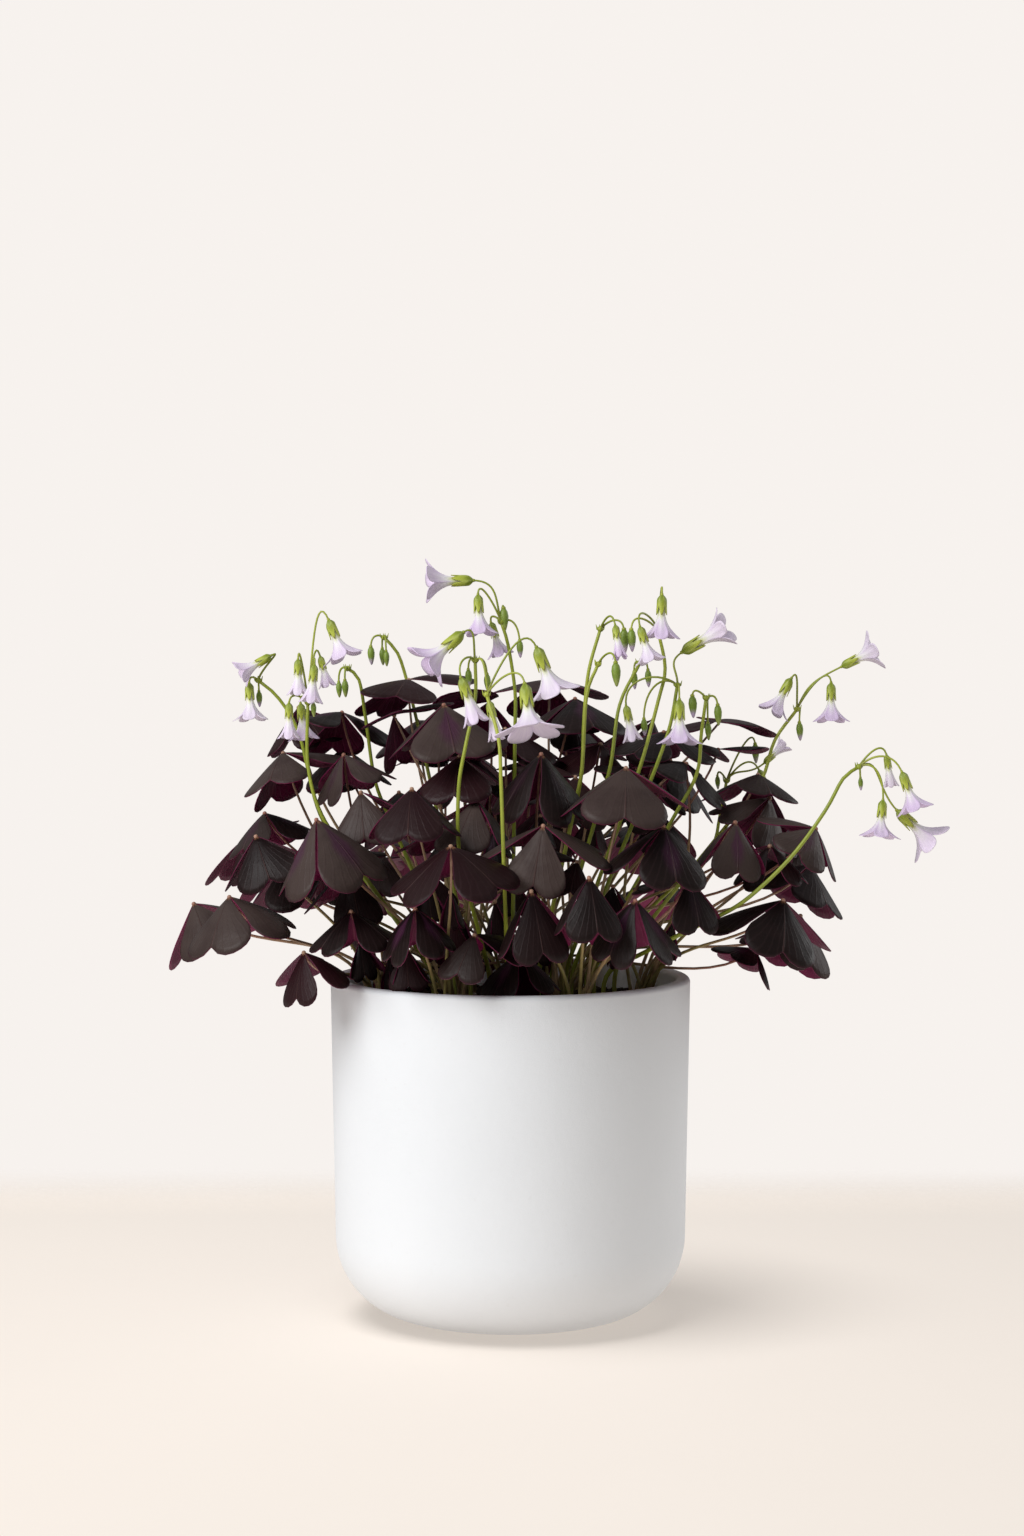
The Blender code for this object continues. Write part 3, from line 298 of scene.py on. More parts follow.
class Grown:
    """A leaf's own frame: its hub, its axis, how each leaflet lies and how its stem bows."""

    def __init__(self, leaf, rng, moves=None, far=0.0):
        """With moves, the leaf is shifted, turned and folded by chance, the more the larger far is."""
        by = (lambda most: moves.uniform(-most, most)) if moves else (lambda most: 0.0)
        self.hub = np.array((leaf.x + by(far), leaf.y + by(far), leaf.z + by(far))) * MM
        outward = unit(np.array((leaf.x, leaf.y, 0.0)) + 1e-6)
        lean = math.radians(leaf.tilt + by(min(18.0, 1.5 * far)))
        self.axis = unit(UP * math.cos(lean) + outward * math.sin(lean))
        self.length = leaf.length * MM * (1.0 - min(0.16, 0.01 * far))
        self.bow = np.zeros(3)
        turn = by(min(60.0, 6.0 * far))
        self.leaflets = []
        for k in range(3):
            azimuth = leaf.heading + turn + 120.0 * k + rng.uniform(-3, 3) + by(min(2.0, far))
            level = heading_vector(azimuth)
            radial = unit(level - self.axis * (level @ self.axis))
            droop = math.radians(leaf.droop + rng.uniform(-7, 7) + by(min(32.0, 5.0 * far)))
            bend = math.radians(rng.uniform(8, 26))
            fold = math.radians(rng.uniform(6, 22))
            size = self.length * rng.uniform(0.95, 1.05)
            half = min(HALF_ANGLE, math.atan(math.tan(WIDEST_AT_HUB) * math.cos(droop)))
            self.leaflets.append((radial, np.cross(self.axis, radial), droop, bend, fold, size, half))

    def point(self, k, reach, across, lift=0.0):
        """A point of leaflet k: reach 0 to 1 from the hub to the outer edge, across -1 to 1."""
        radial, side, droop, bend, fold, size, half_angle = self.leaflets[k]
        radius = reach * outline_radius(abs(across)) * size
        u, v = radius * math.cos(across * half_angle), radius * math.sin(across * half_angle)
        curl = bend / size
        slope = droop + curl * u
        out = (math.sin(slope) - math.sin(droop)) / curl
        down = (math.cos(droop) - math.cos(slope)) / curl
        normal = math.cos(slope) * self.axis + math.sin(slope) * radial
        half = normal
        if abs(across) > 0.01:
            half = normal * math.cos(fold) + side * math.copysign(math.sin(fold), v)
        middle = self.hub + radial * out - self.axis * down
        return middle + side * v * math.cos(fold) - normal * abs(v) * math.sin(fold) + half * lift

    def narrow(self):
        """Narrows the leaflets until none meets another at the hub, and says whether that worked."""
        for _ in range(MOST_NARROWING):
            if not crosses_itself(*blade_mesh(self, 0.0)[:2]):
                return True
            self.leaflets = [(*leaflet[:-1], leaflet[-1] * NARROWING) for leaflet in self.leaflets]
        return False

    def stalk(self, root, steps):
        """The leaf stem's path, from its root up to just under the hub."""
        chord = self.hub - root
        reach = float(np.linalg.norm(chord))
        end = unit(0.55 * self.axis + 0.45 * chord / reach)
        level = np.array((chord[0], chord[1], 0.0))
        start = unit(UP + 0.30 * level / max(reach, MM))
        top = self.hub - self.axis * 1.5 * MM
        low = root + start * 0.42 * reach + self.bow
        return bezier(root, low, top - end * 0.36 * reach + self.bow * 0.8, top, steps)


def leaf_mesh(grown, root, swell=0.0):
    """One closed leaf: three folded leaflets joined round the hub, on a three-sided stem."""
    verts, faces, knee = blade_mesh(grown, swell)
    path = grown.stalk(root, STALK_STEPS)[::-1]
    tan = tangents(path)
    offsets = np.array([grown.leaflets[k][0] for k in range(3)])
    offsets = turned(offsets, -grown.axis, tan[0])
    start = knee
    for i in range(1, len(path)):
        offsets = turned(offsets, tan[i - 1], tan[i])
        share = i / (len(path) - 1)
        radius = STALK_RING + (STALK_ROOT_RADIUS - STALK_RING) * share + swell
        ring = len(verts)
        verts += list(path[i] + offsets * radius)
        faces += bridge(start, ring, 3)
        start = ring
    faces.append((start, start + 1, start + 2))
    return np.array(verts), faces


def blade_mesh(grown, swell):
    """The three leaflets as one thin solid, open only where the leaf stem starts, and that ring's start."""
    h = BLADE_THICK / 2 + swell
    verts, faces = [grown.hub + grown.axis * h], []
    tops, unders, valleys = [], [], []
    for k in range(3):
        here, after = grown.leaflets[k][0], grown.leaflets[(k + 1) % 3][0]
        between = unit(here + after)
        at = grown.hub + between * HUB_RING
        valleys.append((len(verts), len(verts) + 1))
        verts += [at + grown.axis * (h - 0.25 * MM), at - grown.axis * (h + HUB_DEPTH)]
    for k in range(3):
        rows = []
        for lift in (h, -h):
            row = [grown.point(k, 1.0, -a, lift) for a in RIM_STOPS]
            row += [grown.point(k, 1.0, a, lift) for a in reversed(RIM_STOPS[:-1])]
            rows.append(range(len(verts), len(verts) + len(row)))
            verts += row
        tops.append(rows[0])
        unders.append(rows[1])
    knee = len(verts)
    for k in range(3):
        near = STALK_RING + swell
        verts.append(grown.hub + grown.leaflets[k][0] * near - grown.axis * (h + HUB_DEPTH))
    for k in range(3):
        before, after = valleys[(k + 2) % 3], valleys[k]
        for row, apex, layer in ((tops[k], 0, 0), (unders[k], knee + k, 1)):
            edge = [before[layer], *row, after[layer]]
            face = [(apex, a, b) for a, b in zip(edge, edge[1:])]
            faces += face if layer == 0 else [f[::-1] for f in face]
        upper = [before[0], *tops[k], after[0]]
        lower = [before[1], *unders[k], after[1]]
        walls = list(zip(upper, upper[1:], lower, lower[1:]))
        faces += [(a, c, d, b) for a, b, c, d in walls[1:-1]]
        (a, b, c, d), (e, f, g, h_) = walls[0], walls[-1]
        faces += [(a, c, b), (c, d, b), (e, g, h_), (e, h_, f)]
        faces.append((knee + k, knee + (k + 1) % 3, after[1]))
    return verts, faces, knee


def crosses_itself(verts, faces):
    """Whether two faces of a solid meet that have no corner in common."""
    thirds = [(f[0], a, b) for f in faces for a, b in zip(f[1:], f[2:])]
    tree = BVHTree.FromPolygons([tuple(v / MM) for v in verts], thirds)
    return any(a < b and not set(thirds[a]) & set(thirds[b]) for a, b in tree.overlap(tree))


def tree_of(verts, faces, above=None):
    """A search tree of a solid, or of the faces that lie wholly above a height."""
    if above is not None:
        faces = [f for f in faces if min(verts[i][2] for i in f) > above]
    return BVHTree.FromPolygons([tuple(v) for v in verts], faces) if faces else None


class Space:
    """What already stands in the air, so that each new leaf or bloom is bent clear of it."""

    def __init__(self):
        self.held = []

    def add(self, verts, faces, family, free_below):
        low, high = np.min(verts, axis=0), np.max(verts, axis=0)
        self.held.append((family, low, high, tree_of(verts, faces), tree_of(verts, faces, free_below)))

    def clear(self, verts, faces, family, free_below=0.0):
        """Whether a solid meets none. Below a height it may meet its own family, which it is fused to."""
        if not faces:
            return True
        low, high = np.min(verts, axis=0), np.max(verts, axis=0)
        whole, upper = None, None
        for other, start, end, tree, top in self.held:
            if (start > high).any() or (low > end).any():
                continue
            if other != family:
                whole = whole or tree_of(verts, faces)
                if whole.overlap(tree):
                    return False
                continue
            upper = upper or tree_of(verts, faces, free_below)
            if upper and top and upper.overlap(top):
                return False
        return True


def crown_places():
    found = []
    for count, distance, first in CROWN_RINGS:
        for i in range(count):
            at = heading_vector(first + 360.0 * i / count) * distance
            found.append(np.array((at[0], at[1], SOIL_TOP)))
    return found


def canopy_leaves():
    """The listed front leaves, then the far side's by a golden-angle rule over the same dome."""
    leaves = sorted(FRONT_LEAVES, key=lambda leaf: leaf.y)
    rng = random.Random(SEED)
    for i in range(BACK_LEAVES):
        share = (i + 0.6) / BACK_LEAVES
        reach = 28 + 118 * share
        azimuth = 180 + ((i * GOLDEN_ANGLE) % 180.0 - 90.0) * 0.98
        x, y, _ = heading_vector(azimuth) * reach
        y = max(y, 14 + 10 * (i % 3))
        z = CANOPY_TOP / MM - CANOPY_FALL * reach * reach / 1000 - rng.choice((0, 4, 22, 40)) * (0.4 + share)
        leaves.append(
            Leaf(x, y, max(z, 172), rng.uniform(-60, 60), rng.uniform(18, 40),
                 6 + 18 * share, rng.uniform(27, 34))
        )
    return leaves


def nearest_crown(leaf, crowns, taken):
    wish = np.array((leaf.x, leaf.y, 0.0)) * MM * STALK_TO_CROWN
    order = sorted(range(len(crowns)), key=lambda i: float(np.hypot(*(crowns[i][:2] - wish[:2]))))
    return next(i for i in order if len(taken[i]) < MOST_ON_A_CROWN)


def root_on(crown, leaf, taken):
    """The free place on a ring round the crown that is nearest to the leaf's side, and its number."""
    toward = np.array((leaf.x, leaf.y, 0.0)) * MM - crown * (1, 1, 0)
    ways = [2 * math.pi * (i + 0.25) / MOST_ON_A_CROWN for i in range(MOST_ON_A_CROWN)]
    free = [i for i in range(MOST_ON_A_CROWN) if i not in taken]
    best = max(free, key=lambda i: toward[0] * math.cos(ways[i]) + toward[1] * math.sin(ways[i]))
    spot = np.array((math.cos(ways[best]), math.sin(ways[best]), 0.0)) * ROOT_SPREAD
    return crown + spot - UP * ROOT_DEPTH, best


def place_leaf(space, leaf, root, family, index):
    """The leaf, moved little by little until it is clear of all before it, or None."""
    moves = random.Random(SEED + 101 * index)
    for trial in range(MOST_TRIES):
        shape = Grown(leaf, random.Random(SEED + index), moves, 0.075 * trial)
        if not shape.narrow():
            continue
        verts, faces, _ = blade_mesh(shape, CLEAR)
        if not space.clear(verts, faces, family, FUSED_BELOW):
            continue
        for bend in range(STALK_TRIES):
            way = 0.0020 * bend
            shape.bow = np.array((moves.uniform(-way, way), moves.uniform(-way, way), 0.0))
            path = shape.stalk(root, STALK_STEPS)
            radii = np.full(len(path), STALK_ROOT_RADIUS + CLEAR)
            rise = path[1] - path[0]
            if rise[2] < STEEP_ENOUGH * math.hypot(rise[0], rise[1]):
                continue
            if space.clear(*tube(path[:-1], radii[:-1], 3), family, FUSED_BELOW):
                verts, faces = leaf_mesh(shape, root, CLEAR)
                if not space.clear(verts, faces, family, FUSED_BELOW):
                    continue
                if not crosses_itself(*leaf_mesh(shape, root)):
                    space.add(verts, faces, family, FUSED_BELOW)
                    return shape
    return None


def settle_leaves(space, crowns):
    """Each leaf with its crown and its root there."""
    taken, grown = [set() for _ in crowns], []
    for index, leaf in enumerate(canopy_leaves()):
        home = nearest_crown(leaf, crowns, taken)
        root, spot = root_on(crowns[home], leaf, taken[home])
        shape = place_leaf(space, leaf, root, f"crown{home}", index)
        if shape:
            taken[home].add(spot)
            grown.append((home, root, shape))
    return grown


def scape_path(scape):
    points = [np.array(p, float) * MM for p in scape.path]
    foot = points[0] * (0.42, 0.42, 0)
    foot[2] = SOIL_TOP - SCAPE_DEPTH
    rise = foot + UP * (SCAPE_DEPTH + 14 * MM)
    return [foot, rise, *points]


def pedicel_path(umbel, base, facing, steps):
    """A thin flower stalk that leaves the umbel upwards and arches over into its cup."""
    reach = float(np.linalg.norm(base - umbel))
    start = unit(UP * 0.9 + unit(base - umbel) * 0.8)
    end = base + facing * 0.9 * MM
    return bezier(umbel, umbel + start * 0.45 * reach, base - facing * (0.40 * reach + 2.5 * MM), end, steps)


def head_mesh(umbel, base, facing, size, kind, swell=0.0):
    """A flower stalk that widens into a green cup, hollow where the corolla stands, or into a bud."""
    path = pedicel_path(umbel, base, facing, PEDICEL_STEPS)
    verts, faces = tube(path, [PEDICEL_RADIUS + swell] * len(path), 3)
    rings = (*CUP_PROFILE, *CUP_INSIDE) if kind == "bloom" else BUD_PROFILE
    sides = FLOWER_SIDES if kind == "bloom" else 4
    offsets = ring_offsets(facing, sides)
    verts = list(verts)
    near = [len(verts) - 3 + i for i in range(3)]
    faces.pop()
    for number, (radius, height) in enumerate(rings):
        at = base + facing * height * size * MM
        if radius == 0.0:
            verts.append(at)
            faces += [(near[i], near[(i + 1) % sides], len(verts) - 1) for i in range(sides)]
            continue
        ring = [len(verts) + i for i in range(sides)]
        verts += list(at + offsets * (radius * size * MM + swell))
        faces += bridge(near[0], ring[0], sides) if number else joined_rings(verts, near, ring)
        near = ring
    return np.array(verts), faces


def joined_rings(verts, few, many):
    """Triangles between two rings with different numbers of vertices, by nearest direction."""
    middle = np.mean([verts[i] for i in few], axis=0)
    centre = np.mean([verts[i] for i in many], axis=0)
    close = [
        max(range(len(few)), key=lambda j: float(unit(verts[few[j]] - middle) @ unit(verts[i] - centre)))
        for i in many
    ]
    faces = []
    for i, j in enumerate(close):
        after = (i + 1) % len(many)
        faces.append((few[j], many[after], many[i]))
        step = j
        while step != close[after]:
            faces.append((few[step], few[(step + 1) % len(few)], many[after]))
            step = (step + 1) % len(few)
    return faces


def corolla_mesh(base, facing, size, opening):
    """A funnel whose mouth spreads into five petal lobes."""
    offsets = ring_offsets(facing, FLOWER_SIDES)
    halves = offsets + np.roll(offsets, -1, axis=0)
    halves = halves / np.linalg.norm(halves, axis=1)[:, None]
    tip = (2.6 + 5.6 * opening, 20.5 - 1.2 * opening)
    notch = (2.5 + 2.9 * opening, 17.0 - 0.4 * opening)
    at = lambda radius, height, ways: base + facing * height * size * MM + ways * radius * size * MM
    verts = [base + facing * COROLLA_APEX * size * MM]
    verts += list(at(*COROLLA_OUT, offsets))
    for inset in (0.0, PETAL_THICK):
        ends = [at(r - inset, z + inset * 0.4, ways) for (r, z), ways in ((tip, offsets), (notch, halves))]
        verts += [v for pair in zip(*ends) for v in pair]
    verts.append(base + facing * COROLLA_INSIDE_APEX * size * MM)
    second, outer, inner, deep = 1, 6, 16, 26
    faces = [(0, second + (i + 1) % 5, second + i) for i in range(5)]
    for i in range(5):
        j = (i + 1) % 5
        a, b, c = outer + 2 * i, outer + 2 * i + 1, outer + 2 * j
        faces += [(second + i, b, a), (second + i, second + j, b), (second + j, c, b)]
        a, b, c = inner + 2 * i, inner + 2 * i + 1, inner + 2 * j
        faces += [(deep, a, b), (deep, b, c)]
    faces += bridge(outer, inner, 10)
    return np.array(verts), faces


def cut_from(verts, faces, place, distance):
    """The faces that lie further than a distance from a place, for tests beside an umbel."""
    near = np.linalg.norm(verts - place, axis=1) < distance
    return verts, [f for f in faces if not any(near[i] for i in f)]


def settle_scapes(space):
    """Each flower stem with its blooms and buds, bent clear of all before it."""
    found = []
    for number, scape in enumerate(SCAPES):
        points = scape_path(scape)
        moves = random.Random(SEED + 7 * number)
        for trial in range(MOST_TRIES):
            way = 0.2 * trial * MM
            push = np.array([moves.uniform(-way, way) for _ in range(2)] + [0.0])
            bent = [points[0] + push * 0.5, points[1] + push * 0.5, *[p + push for p in points[2:]]]
            path = smooth_path(bent, SCAPE_STEP)
            radii = np.linspace(SCAPE_RADIUS, SCAPE_RADIUS * 0.75, len(path))
            foot = hole(SCAPE_RADIUS + 1.1 * MM, 6, path[0], SCAPE_DEPTH)
            stem = tube(path, radii + CLEAR, SCAPE_SIDES)
            if space.clear(*stem, scape.name) and space.clear(*foot, scape.name):
                break
        umbel = path[-1]
        space.add(*stem, scape.name, 1.0)
        space.add(*foot, scape.name, 1.0)
        short = path.copy()
        short[-1] += unit(path[-2] - path[-1]) * 5 * MM
        space.add(*tube(short, radii + CLEAR, SCAPE_SIDES), "", 1.0)
        heads = [("bloom", np.array(b[:3]) * MM, unit(np.array(b[3:6], float)), *b[6:]) for b in scape.blooms]
        down = unit(np.array((0.05, -0.05, -1.0)))
        heads += [("bud", np.array(b[:3]) * MM, down, b[3], 0.0) for b in scape.buds]
        placed = []
        for kind, base, facing, size, opening in heads:
            for trial in range(MOST_TRIES):
                way = 0.12 * trial * MM
                at = base + np.array([moves.uniform(-way, way) for _ in range(3)])
                solids = [cut_from(*head_mesh(umbel, at, facing, size, kind, CLEAR), umbel, 4.5 * MM)]
                if kind == "bloom":
                    solids.append(corolla_mesh(at - facing * CLEAR, facing, size * 1.08, opening))
                if all(space.clear(*s, scape.name) for s in solids):
                    break
            for solid in solids:
                if solid[1]:
                    space.add(*solid, "", 1.0)
            placed.append((kind, at, facing, size, opening, umbel))
        found.append((scape.name, path, radii, placed))
    return found


def pot_outline(inset):
    """(radius, height) rings from the foot up the outside, at a distance in from the skin."""
    corner = POT_CORNER - inset
    angles = np.linspace(-math.pi / 2, 0, CORNER_STEPS + 1)
    middle = POT_SIDE_RADIUS - POT_CORNER
    return [(middle + corner * math.cos(a), POT_CORNER + corner * math.sin(a)) for a in angles]


def pot_rings():
    outside = pot_outline(0.0)
    inside = pot_outline(POT_WALL)
    inner_rim = POT_RIM_RADIUS - POT_WALL
    rim = [
        (POT_RIM_RADIUS, POT_HEIGHT - RIM_ROUND), (POT_RIM_RADIUS - 0.6 * MM, POT_HEIGHT - 0.6 * MM),
        (POT_RIM_RADIUS - RIM_ROUND, POT_HEIGHT), (inner_rim + RIM_ROUND, POT_HEIGHT),
        (inner_rim + 0.6 * MM, POT_HEIGHT - 0.6 * MM), (inner_rim, POT_HEIGHT - RIM_ROUND),
    ]
    walls = [(r, z) for r, z in reversed(inside) if z > POT_FLOOR]
    return [*outside, *rim, *walls, (walls[-1][0] * 0.9, POT_FLOOR), (0.0, POT_FLOOR)]


def hole(radius, sides, at, depth):
    """A plain prism that cuts a hole down into the soil."""
    bottom = np.array((at[0], at[1], SOIL_TOP - depth))
    return lathe([(radius, 0.0), (radius, depth + 3 * MM)], sides, UP, bottom)


# Looks
LEAF_ROWS = 9
LEAF_COLUMNS = 19
LEAF_THICK = 0.34 * MM
FINE_STALK = 16
FINE_SPREAD = 1.04
FINE_SIDES = 8
FINE_OUTLINE = (
    (0.0, 0.835), (0.04, 0.85), (0.1, 0.90), (0.2, 0.965), (0.32, 1.0), (0.45, 1.02),
    (0.6, 1.01), (0.74, 0.97), (0.86, 0.89), (0.94, 0.79), (1.0, 0.66),
)
PETAL_COLUMNS = 70
PETAL_ROWS = 14
PETAL_WALL = 0.28
CUP_COLUMNS = 40
CUP_ROWS = 9
CUP_WALL = 0.3
INNER_LEAVES = 260
INNER_TRIES = 5
POT_TURNS = 144
SOIL_RINGS = 26
SOIL_SIDES = 96
SOIL_DEPTH = 40 * MM
CRUMBS = 420

# Studio: lights as (place, what it faces, width and height, watts)
KEY = ((-1.10, -1.05, 1.25), (0, 0, 0.15), (1.3, 1.3), 30)
EDGE = ((1.25, 0.75, 0.5), (0, 0, 0.1), (0.7, 1.2), 6)
FLOOR_KEY = ((-0.42, -0.35, 1.6), (0, 0, 0), (1.0, 1.0), 28)
CAMERA_AT = (0.0007, -1.6, 0.3333)
CAMERA_DOWN = 3.17
LENS = 84.57
SENSOR = 36.0
FLOOR_RADIUS = 1.6
FLOOR_NEAR = (0.460, 0.421, 0.384)
FLOOR_FAR = (0.470, 0.429, 0.391)
FLOOR_GLOW = (0.385, 0.355, 0.326)
BACKDROP = (0.931, 0.889, 0.856)
FILL = (0.29, 0.29, 0.29)
FILL_LOW = (0.10, 0.10, 0.10)


def piece(name, verts, faces, materials, kinds, uv=None, chance=None, smooth=True):
    """A mesh object with a material and a (u, v) for each face corner, and a chance per part."""
    mesh = bpy.data.meshes.new(name)
    mesh.from_pydata([tuple(v) for v in verts], [], [tuple(int(i) for i in f) for f in faces])
    for made in materials:
        mesh.materials.append(made)
    mesh.polygons.foreach_set("material_index", np.asarray(kinds, np.int32))
    corners = np.empty(len(mesh.loops), np.int32)
    mesh.loops.foreach_get("vertex_index", corners)
    if uv is not None:
        layer = mesh.uv_layers.new(name="place")
        layer.data.foreach_set("uv", np.asarray(uv, np.float32)[corners].ravel())
    if chance is not None:
        layer = mesh.uv_layers.new(name="chance")
        layer.data.foreach_set("uv", np.asarray(chance, np.float32)[corners].ravel())
    if smooth:
        mesh.shade_smooth()
    made = bpy.data.objects.new(name, mesh)
    bpy.context.scene.collection.objects.link(made)
    return made


class Heap:
    """Collects shells into one piece: vertices, faces, material numbers and coordinates."""

    def __init__(self):
        self.verts, self.faces, self.kinds, self.uv, self.chance = [], [], [], [], []
        self.count = 0

    def add(self, verts, faces, kind, uv, chance=(0.5, 0.5)):
        verts = np.asarray(verts, float).reshape(-1, 3)
        self.verts.append(verts)
        self.faces += [tuple(i + self.count for i in f) for f in faces]
        kinds = kind if isinstance(kind, (list, np.ndarray)) else [kind] * len(faces)
        self.kinds += list(kinds)
        self.uv.append(np.asarray(uv, float).reshape(-1, 2))
        self.chance.append(np.tile(chance, (len(verts), 1)))
        self.count += len(verts)

    def piece(self, name, materials):
        return piece(
            name, np.concatenate(self.verts), self.faces, materials, self.kinds,
            np.concatenate(self.uv), np.concatenate(self.chance)
        )


def grid_faces(rows, columns, closed=False):
    wide = columns if closed else columns - 1
    return [
        (r * columns + c, r * columns + (c + 1) % columns,
         (r + 1) * columns + (c + 1) % columns, (r + 1) * columns + c)
        for r in range(rows - 1) for c in range(wide)
    ]


def leaflet_points(grown, k, reach, across, lift, wave, phase):
    """Fine points of a leaflet, on the same folded and drooping sheet as the coarse one."""
    radial, side, droop, bend, fold, size, half_angle = grown.leaflets[k]
    a = np.abs(across)
    radius = reach * np.interp(a, [s for s, _ in FINE_OUTLINE], [r for _, r in FINE_OUTLINE]) * size
    radius *= FINE_SPREAD
    u, v = radius * np.cos(across * half_angle), radius * np.sin(across * half_angle)
    curl = bend / size
    slope = droop + curl * u
    out = (np.sin(slope) - math.sin(droop)) / curl
    down = (math.cos(droop) - np.cos(slope)) / curl
    crease = np.sqrt(v * v + (0.5 * MM) ** 2) - 0.5 * MM
    puff = 0.045 * size * reach * np.sin(np.pi * np.minimum(a, 1.0)) ** 1.2
    ripple = wave * size * reach**2 * np.sin(across * 5.2 + phase) * a
    normal = np.cos(slope)[:, None] * grown.axis + np.sin(slope)[:, None] * radial
    half = normal * math.cos(fold) + side * (np.sign(v) * math.sin(fold))[:, None]
    middle = grown.hub + out[:, None] * radial - down[:, None] * grown.axis
    middle = middle + side * (v * math.cos(fold))[:, None]
    middle = middle - normal * (crease * math.sin(fold) - puff - ripple)[:, None]
    return middle + half * lift


def fine_leaf(heap, grown, root, number):
    """Three thin leaflets with crease, puffed halves and rippled edges, and a round leaf stem."""
    chance = random.Random(9000 + number)
    spread = np.sin(np.linspace(-0.5, 0.5, LEAF_COLUMNS) * np.pi * 0.98) / math.sin(0.49 * np.pi)
    reach, across = np.meshgrid(np.linspace(0.035, 1.0, LEAF_ROWS), spread, indexing="ij")
    reach, across = reach.ravel(), across.ravel()
    uv = np.stack([across * 0.5 + 0.5, reach], 1)
    last, n = (LEAF_ROWS - 1) * LEAF_COLUMNS, LEAF_ROWS * LEAF_COLUMNS
    top = grid_faces(LEAF_ROWS, LEAF_COLUMNS)
    under = [tuple(i + n for i in reversed(f)) for f in top]
    rim = [*range(0, last, LEAF_COLUMNS), *range(last, n), *range(last - 1, 0, -LEAF_COLUMNS)]
    rim += range(LEAF_COLUMNS - 2, 0, -1)
    edge = [(a, b, b + n, a + n) for a, b in zip(rim, rim[1:] + rim[:1])]
    kinds = [0] * len(top) + [1] * (len(under) + len(edge))
    tone, blotch = chance.random(), chance.random()
    for k in range(3):
        wave, phase = chance.uniform(0.0, 0.028), chance.uniform(0, 6.28)
        own = (min(1.0, max(0.0, tone + chance.uniform(-0.12, 0.12))), blotch)
        upper = leaflet_points(grown, k, reach, across, LEAF_THICK / 2, wave, phase)
        lower = leaflet_points(grown, k, reach, across, -LEAF_THICK / 2, wave, phase)
        heap.add(np.concatenate([upper, lower]), top + under + edge, kinds, np.concatenate([uv, uv]), own)
    path = grown.stalk(root, FINE_STALK)
    add_tube(heap, path, np.linspace(STALK_ROOT_RADIUS, 0.52 * MM, len(path)), 2, (tone, blotch))
    knob = grown.hub - grown.axis * 0.2 * MM
    add_blob(heap, knob, grown.axis, 1.05 * MM, 1.0 * MM, 2, (0.96, 1.0), (tone, blotch))


def add_tube(heap, path, radii, kind, chance=(0.5, 0.5), sides=FINE_SIDES):
    verts, faces = tube(path, radii, sides)
    share = np.repeat(np.linspace(0.0, 1.0, len(path)), sides)
    turn = np.tile(np.arange(sides) / sides, len(path))
    heap.add(verts, faces, kind, np.stack([turn, share], 1), chance)


def add_blob(heap, at, axis, radius, length, kind, span=(0.0, 1.0), chance=(0.5, 0.5), sides=8, rows=6):
    """A rounded bead along an axis."""
    a = np.linspace(0, np.pi, rows)
    rings = [
        (radius * math.sin(t) if 0 < i < rows - 1 else 0.0, -length * math.cos(t))
        for i, t in enumerate(a)
    ]
    verts, faces = lathe(rings, sides, axis, at)
    heights = (verts - at) @ axis / length * 0.5 + 0.5
    uv = np.stack([np.zeros(len(verts)), span[0] + (span[1] - span[0]) * heights], 1)
    heap.add(verts, faces, kind, uv, chance)


def lobed(base, facing, size, rows, columns, shape, depth):
    """Outer and inner points of a fluted funnel with walls depth mm thick, and their place on it.

    shape(s, within) gives radius and height in mm, with within 0 on a tip and 1 in a notch.
    """
    side = ring_offsets(facing, 5)[0]
    other = np.cross(facing, side)
    s, turn = np.meshgrid(np.linspace(0, 1, rows), np.arange(columns) * 2 * np.pi / columns, indexing="ij")
    s, turn = s.ravel(), turn.ravel()
    within = np.abs((turn / (2 * np.pi / 5) + 0.5) % 1.0 - 0.5) * 2
    radius, height = shape(s, within)
    thick = np.minimum(depth, radius * 0.5)
    ways = np.cos(turn)[:, None] * side + np.sin(turn)[:, None] * other
    verts = base + facing * (height * size * MM)[:, None] + ways * (radius * size * MM)[:, None]
    sheet = verts.reshape(rows, columns, 3)
    around = np.roll(sheet, -1, axis=1) - np.roll(sheet, 1, axis=1)
    normal = np.cross(around, np.gradient(sheet, axis=0)).reshape(-1, 3)
    normal /= np.maximum(np.linalg.norm(normal, axis=1), 1e-9)[:, None]
    return verts, verts - normal * (thick * size * MM)[:, None], np.stack([within, s], 1)


def add_shell(heap, outer, inner, uv, rows, kind, chance):
    """A thin wall between two grids of points, closed at the mouth and the heel."""
    n, c = len(outer), len(outer) // rows
    last = n - c
    out = grid_faces(rows, c, closed=True)
    into = [tuple(i + n for i in reversed(f)) for f in out]
    edge = [(last + i, last + (i + 1) % c, n + last + (i + 1) % c, n + last + i) for i in range(c)]
    heel = [tuple(range(c - 1, -1, -1)), tuple(range(n, n + c))]
    heap.add(np.concatenate([outer, inner]), out + into + edge + heel, kind, np.concatenate([uv, uv]), chance)


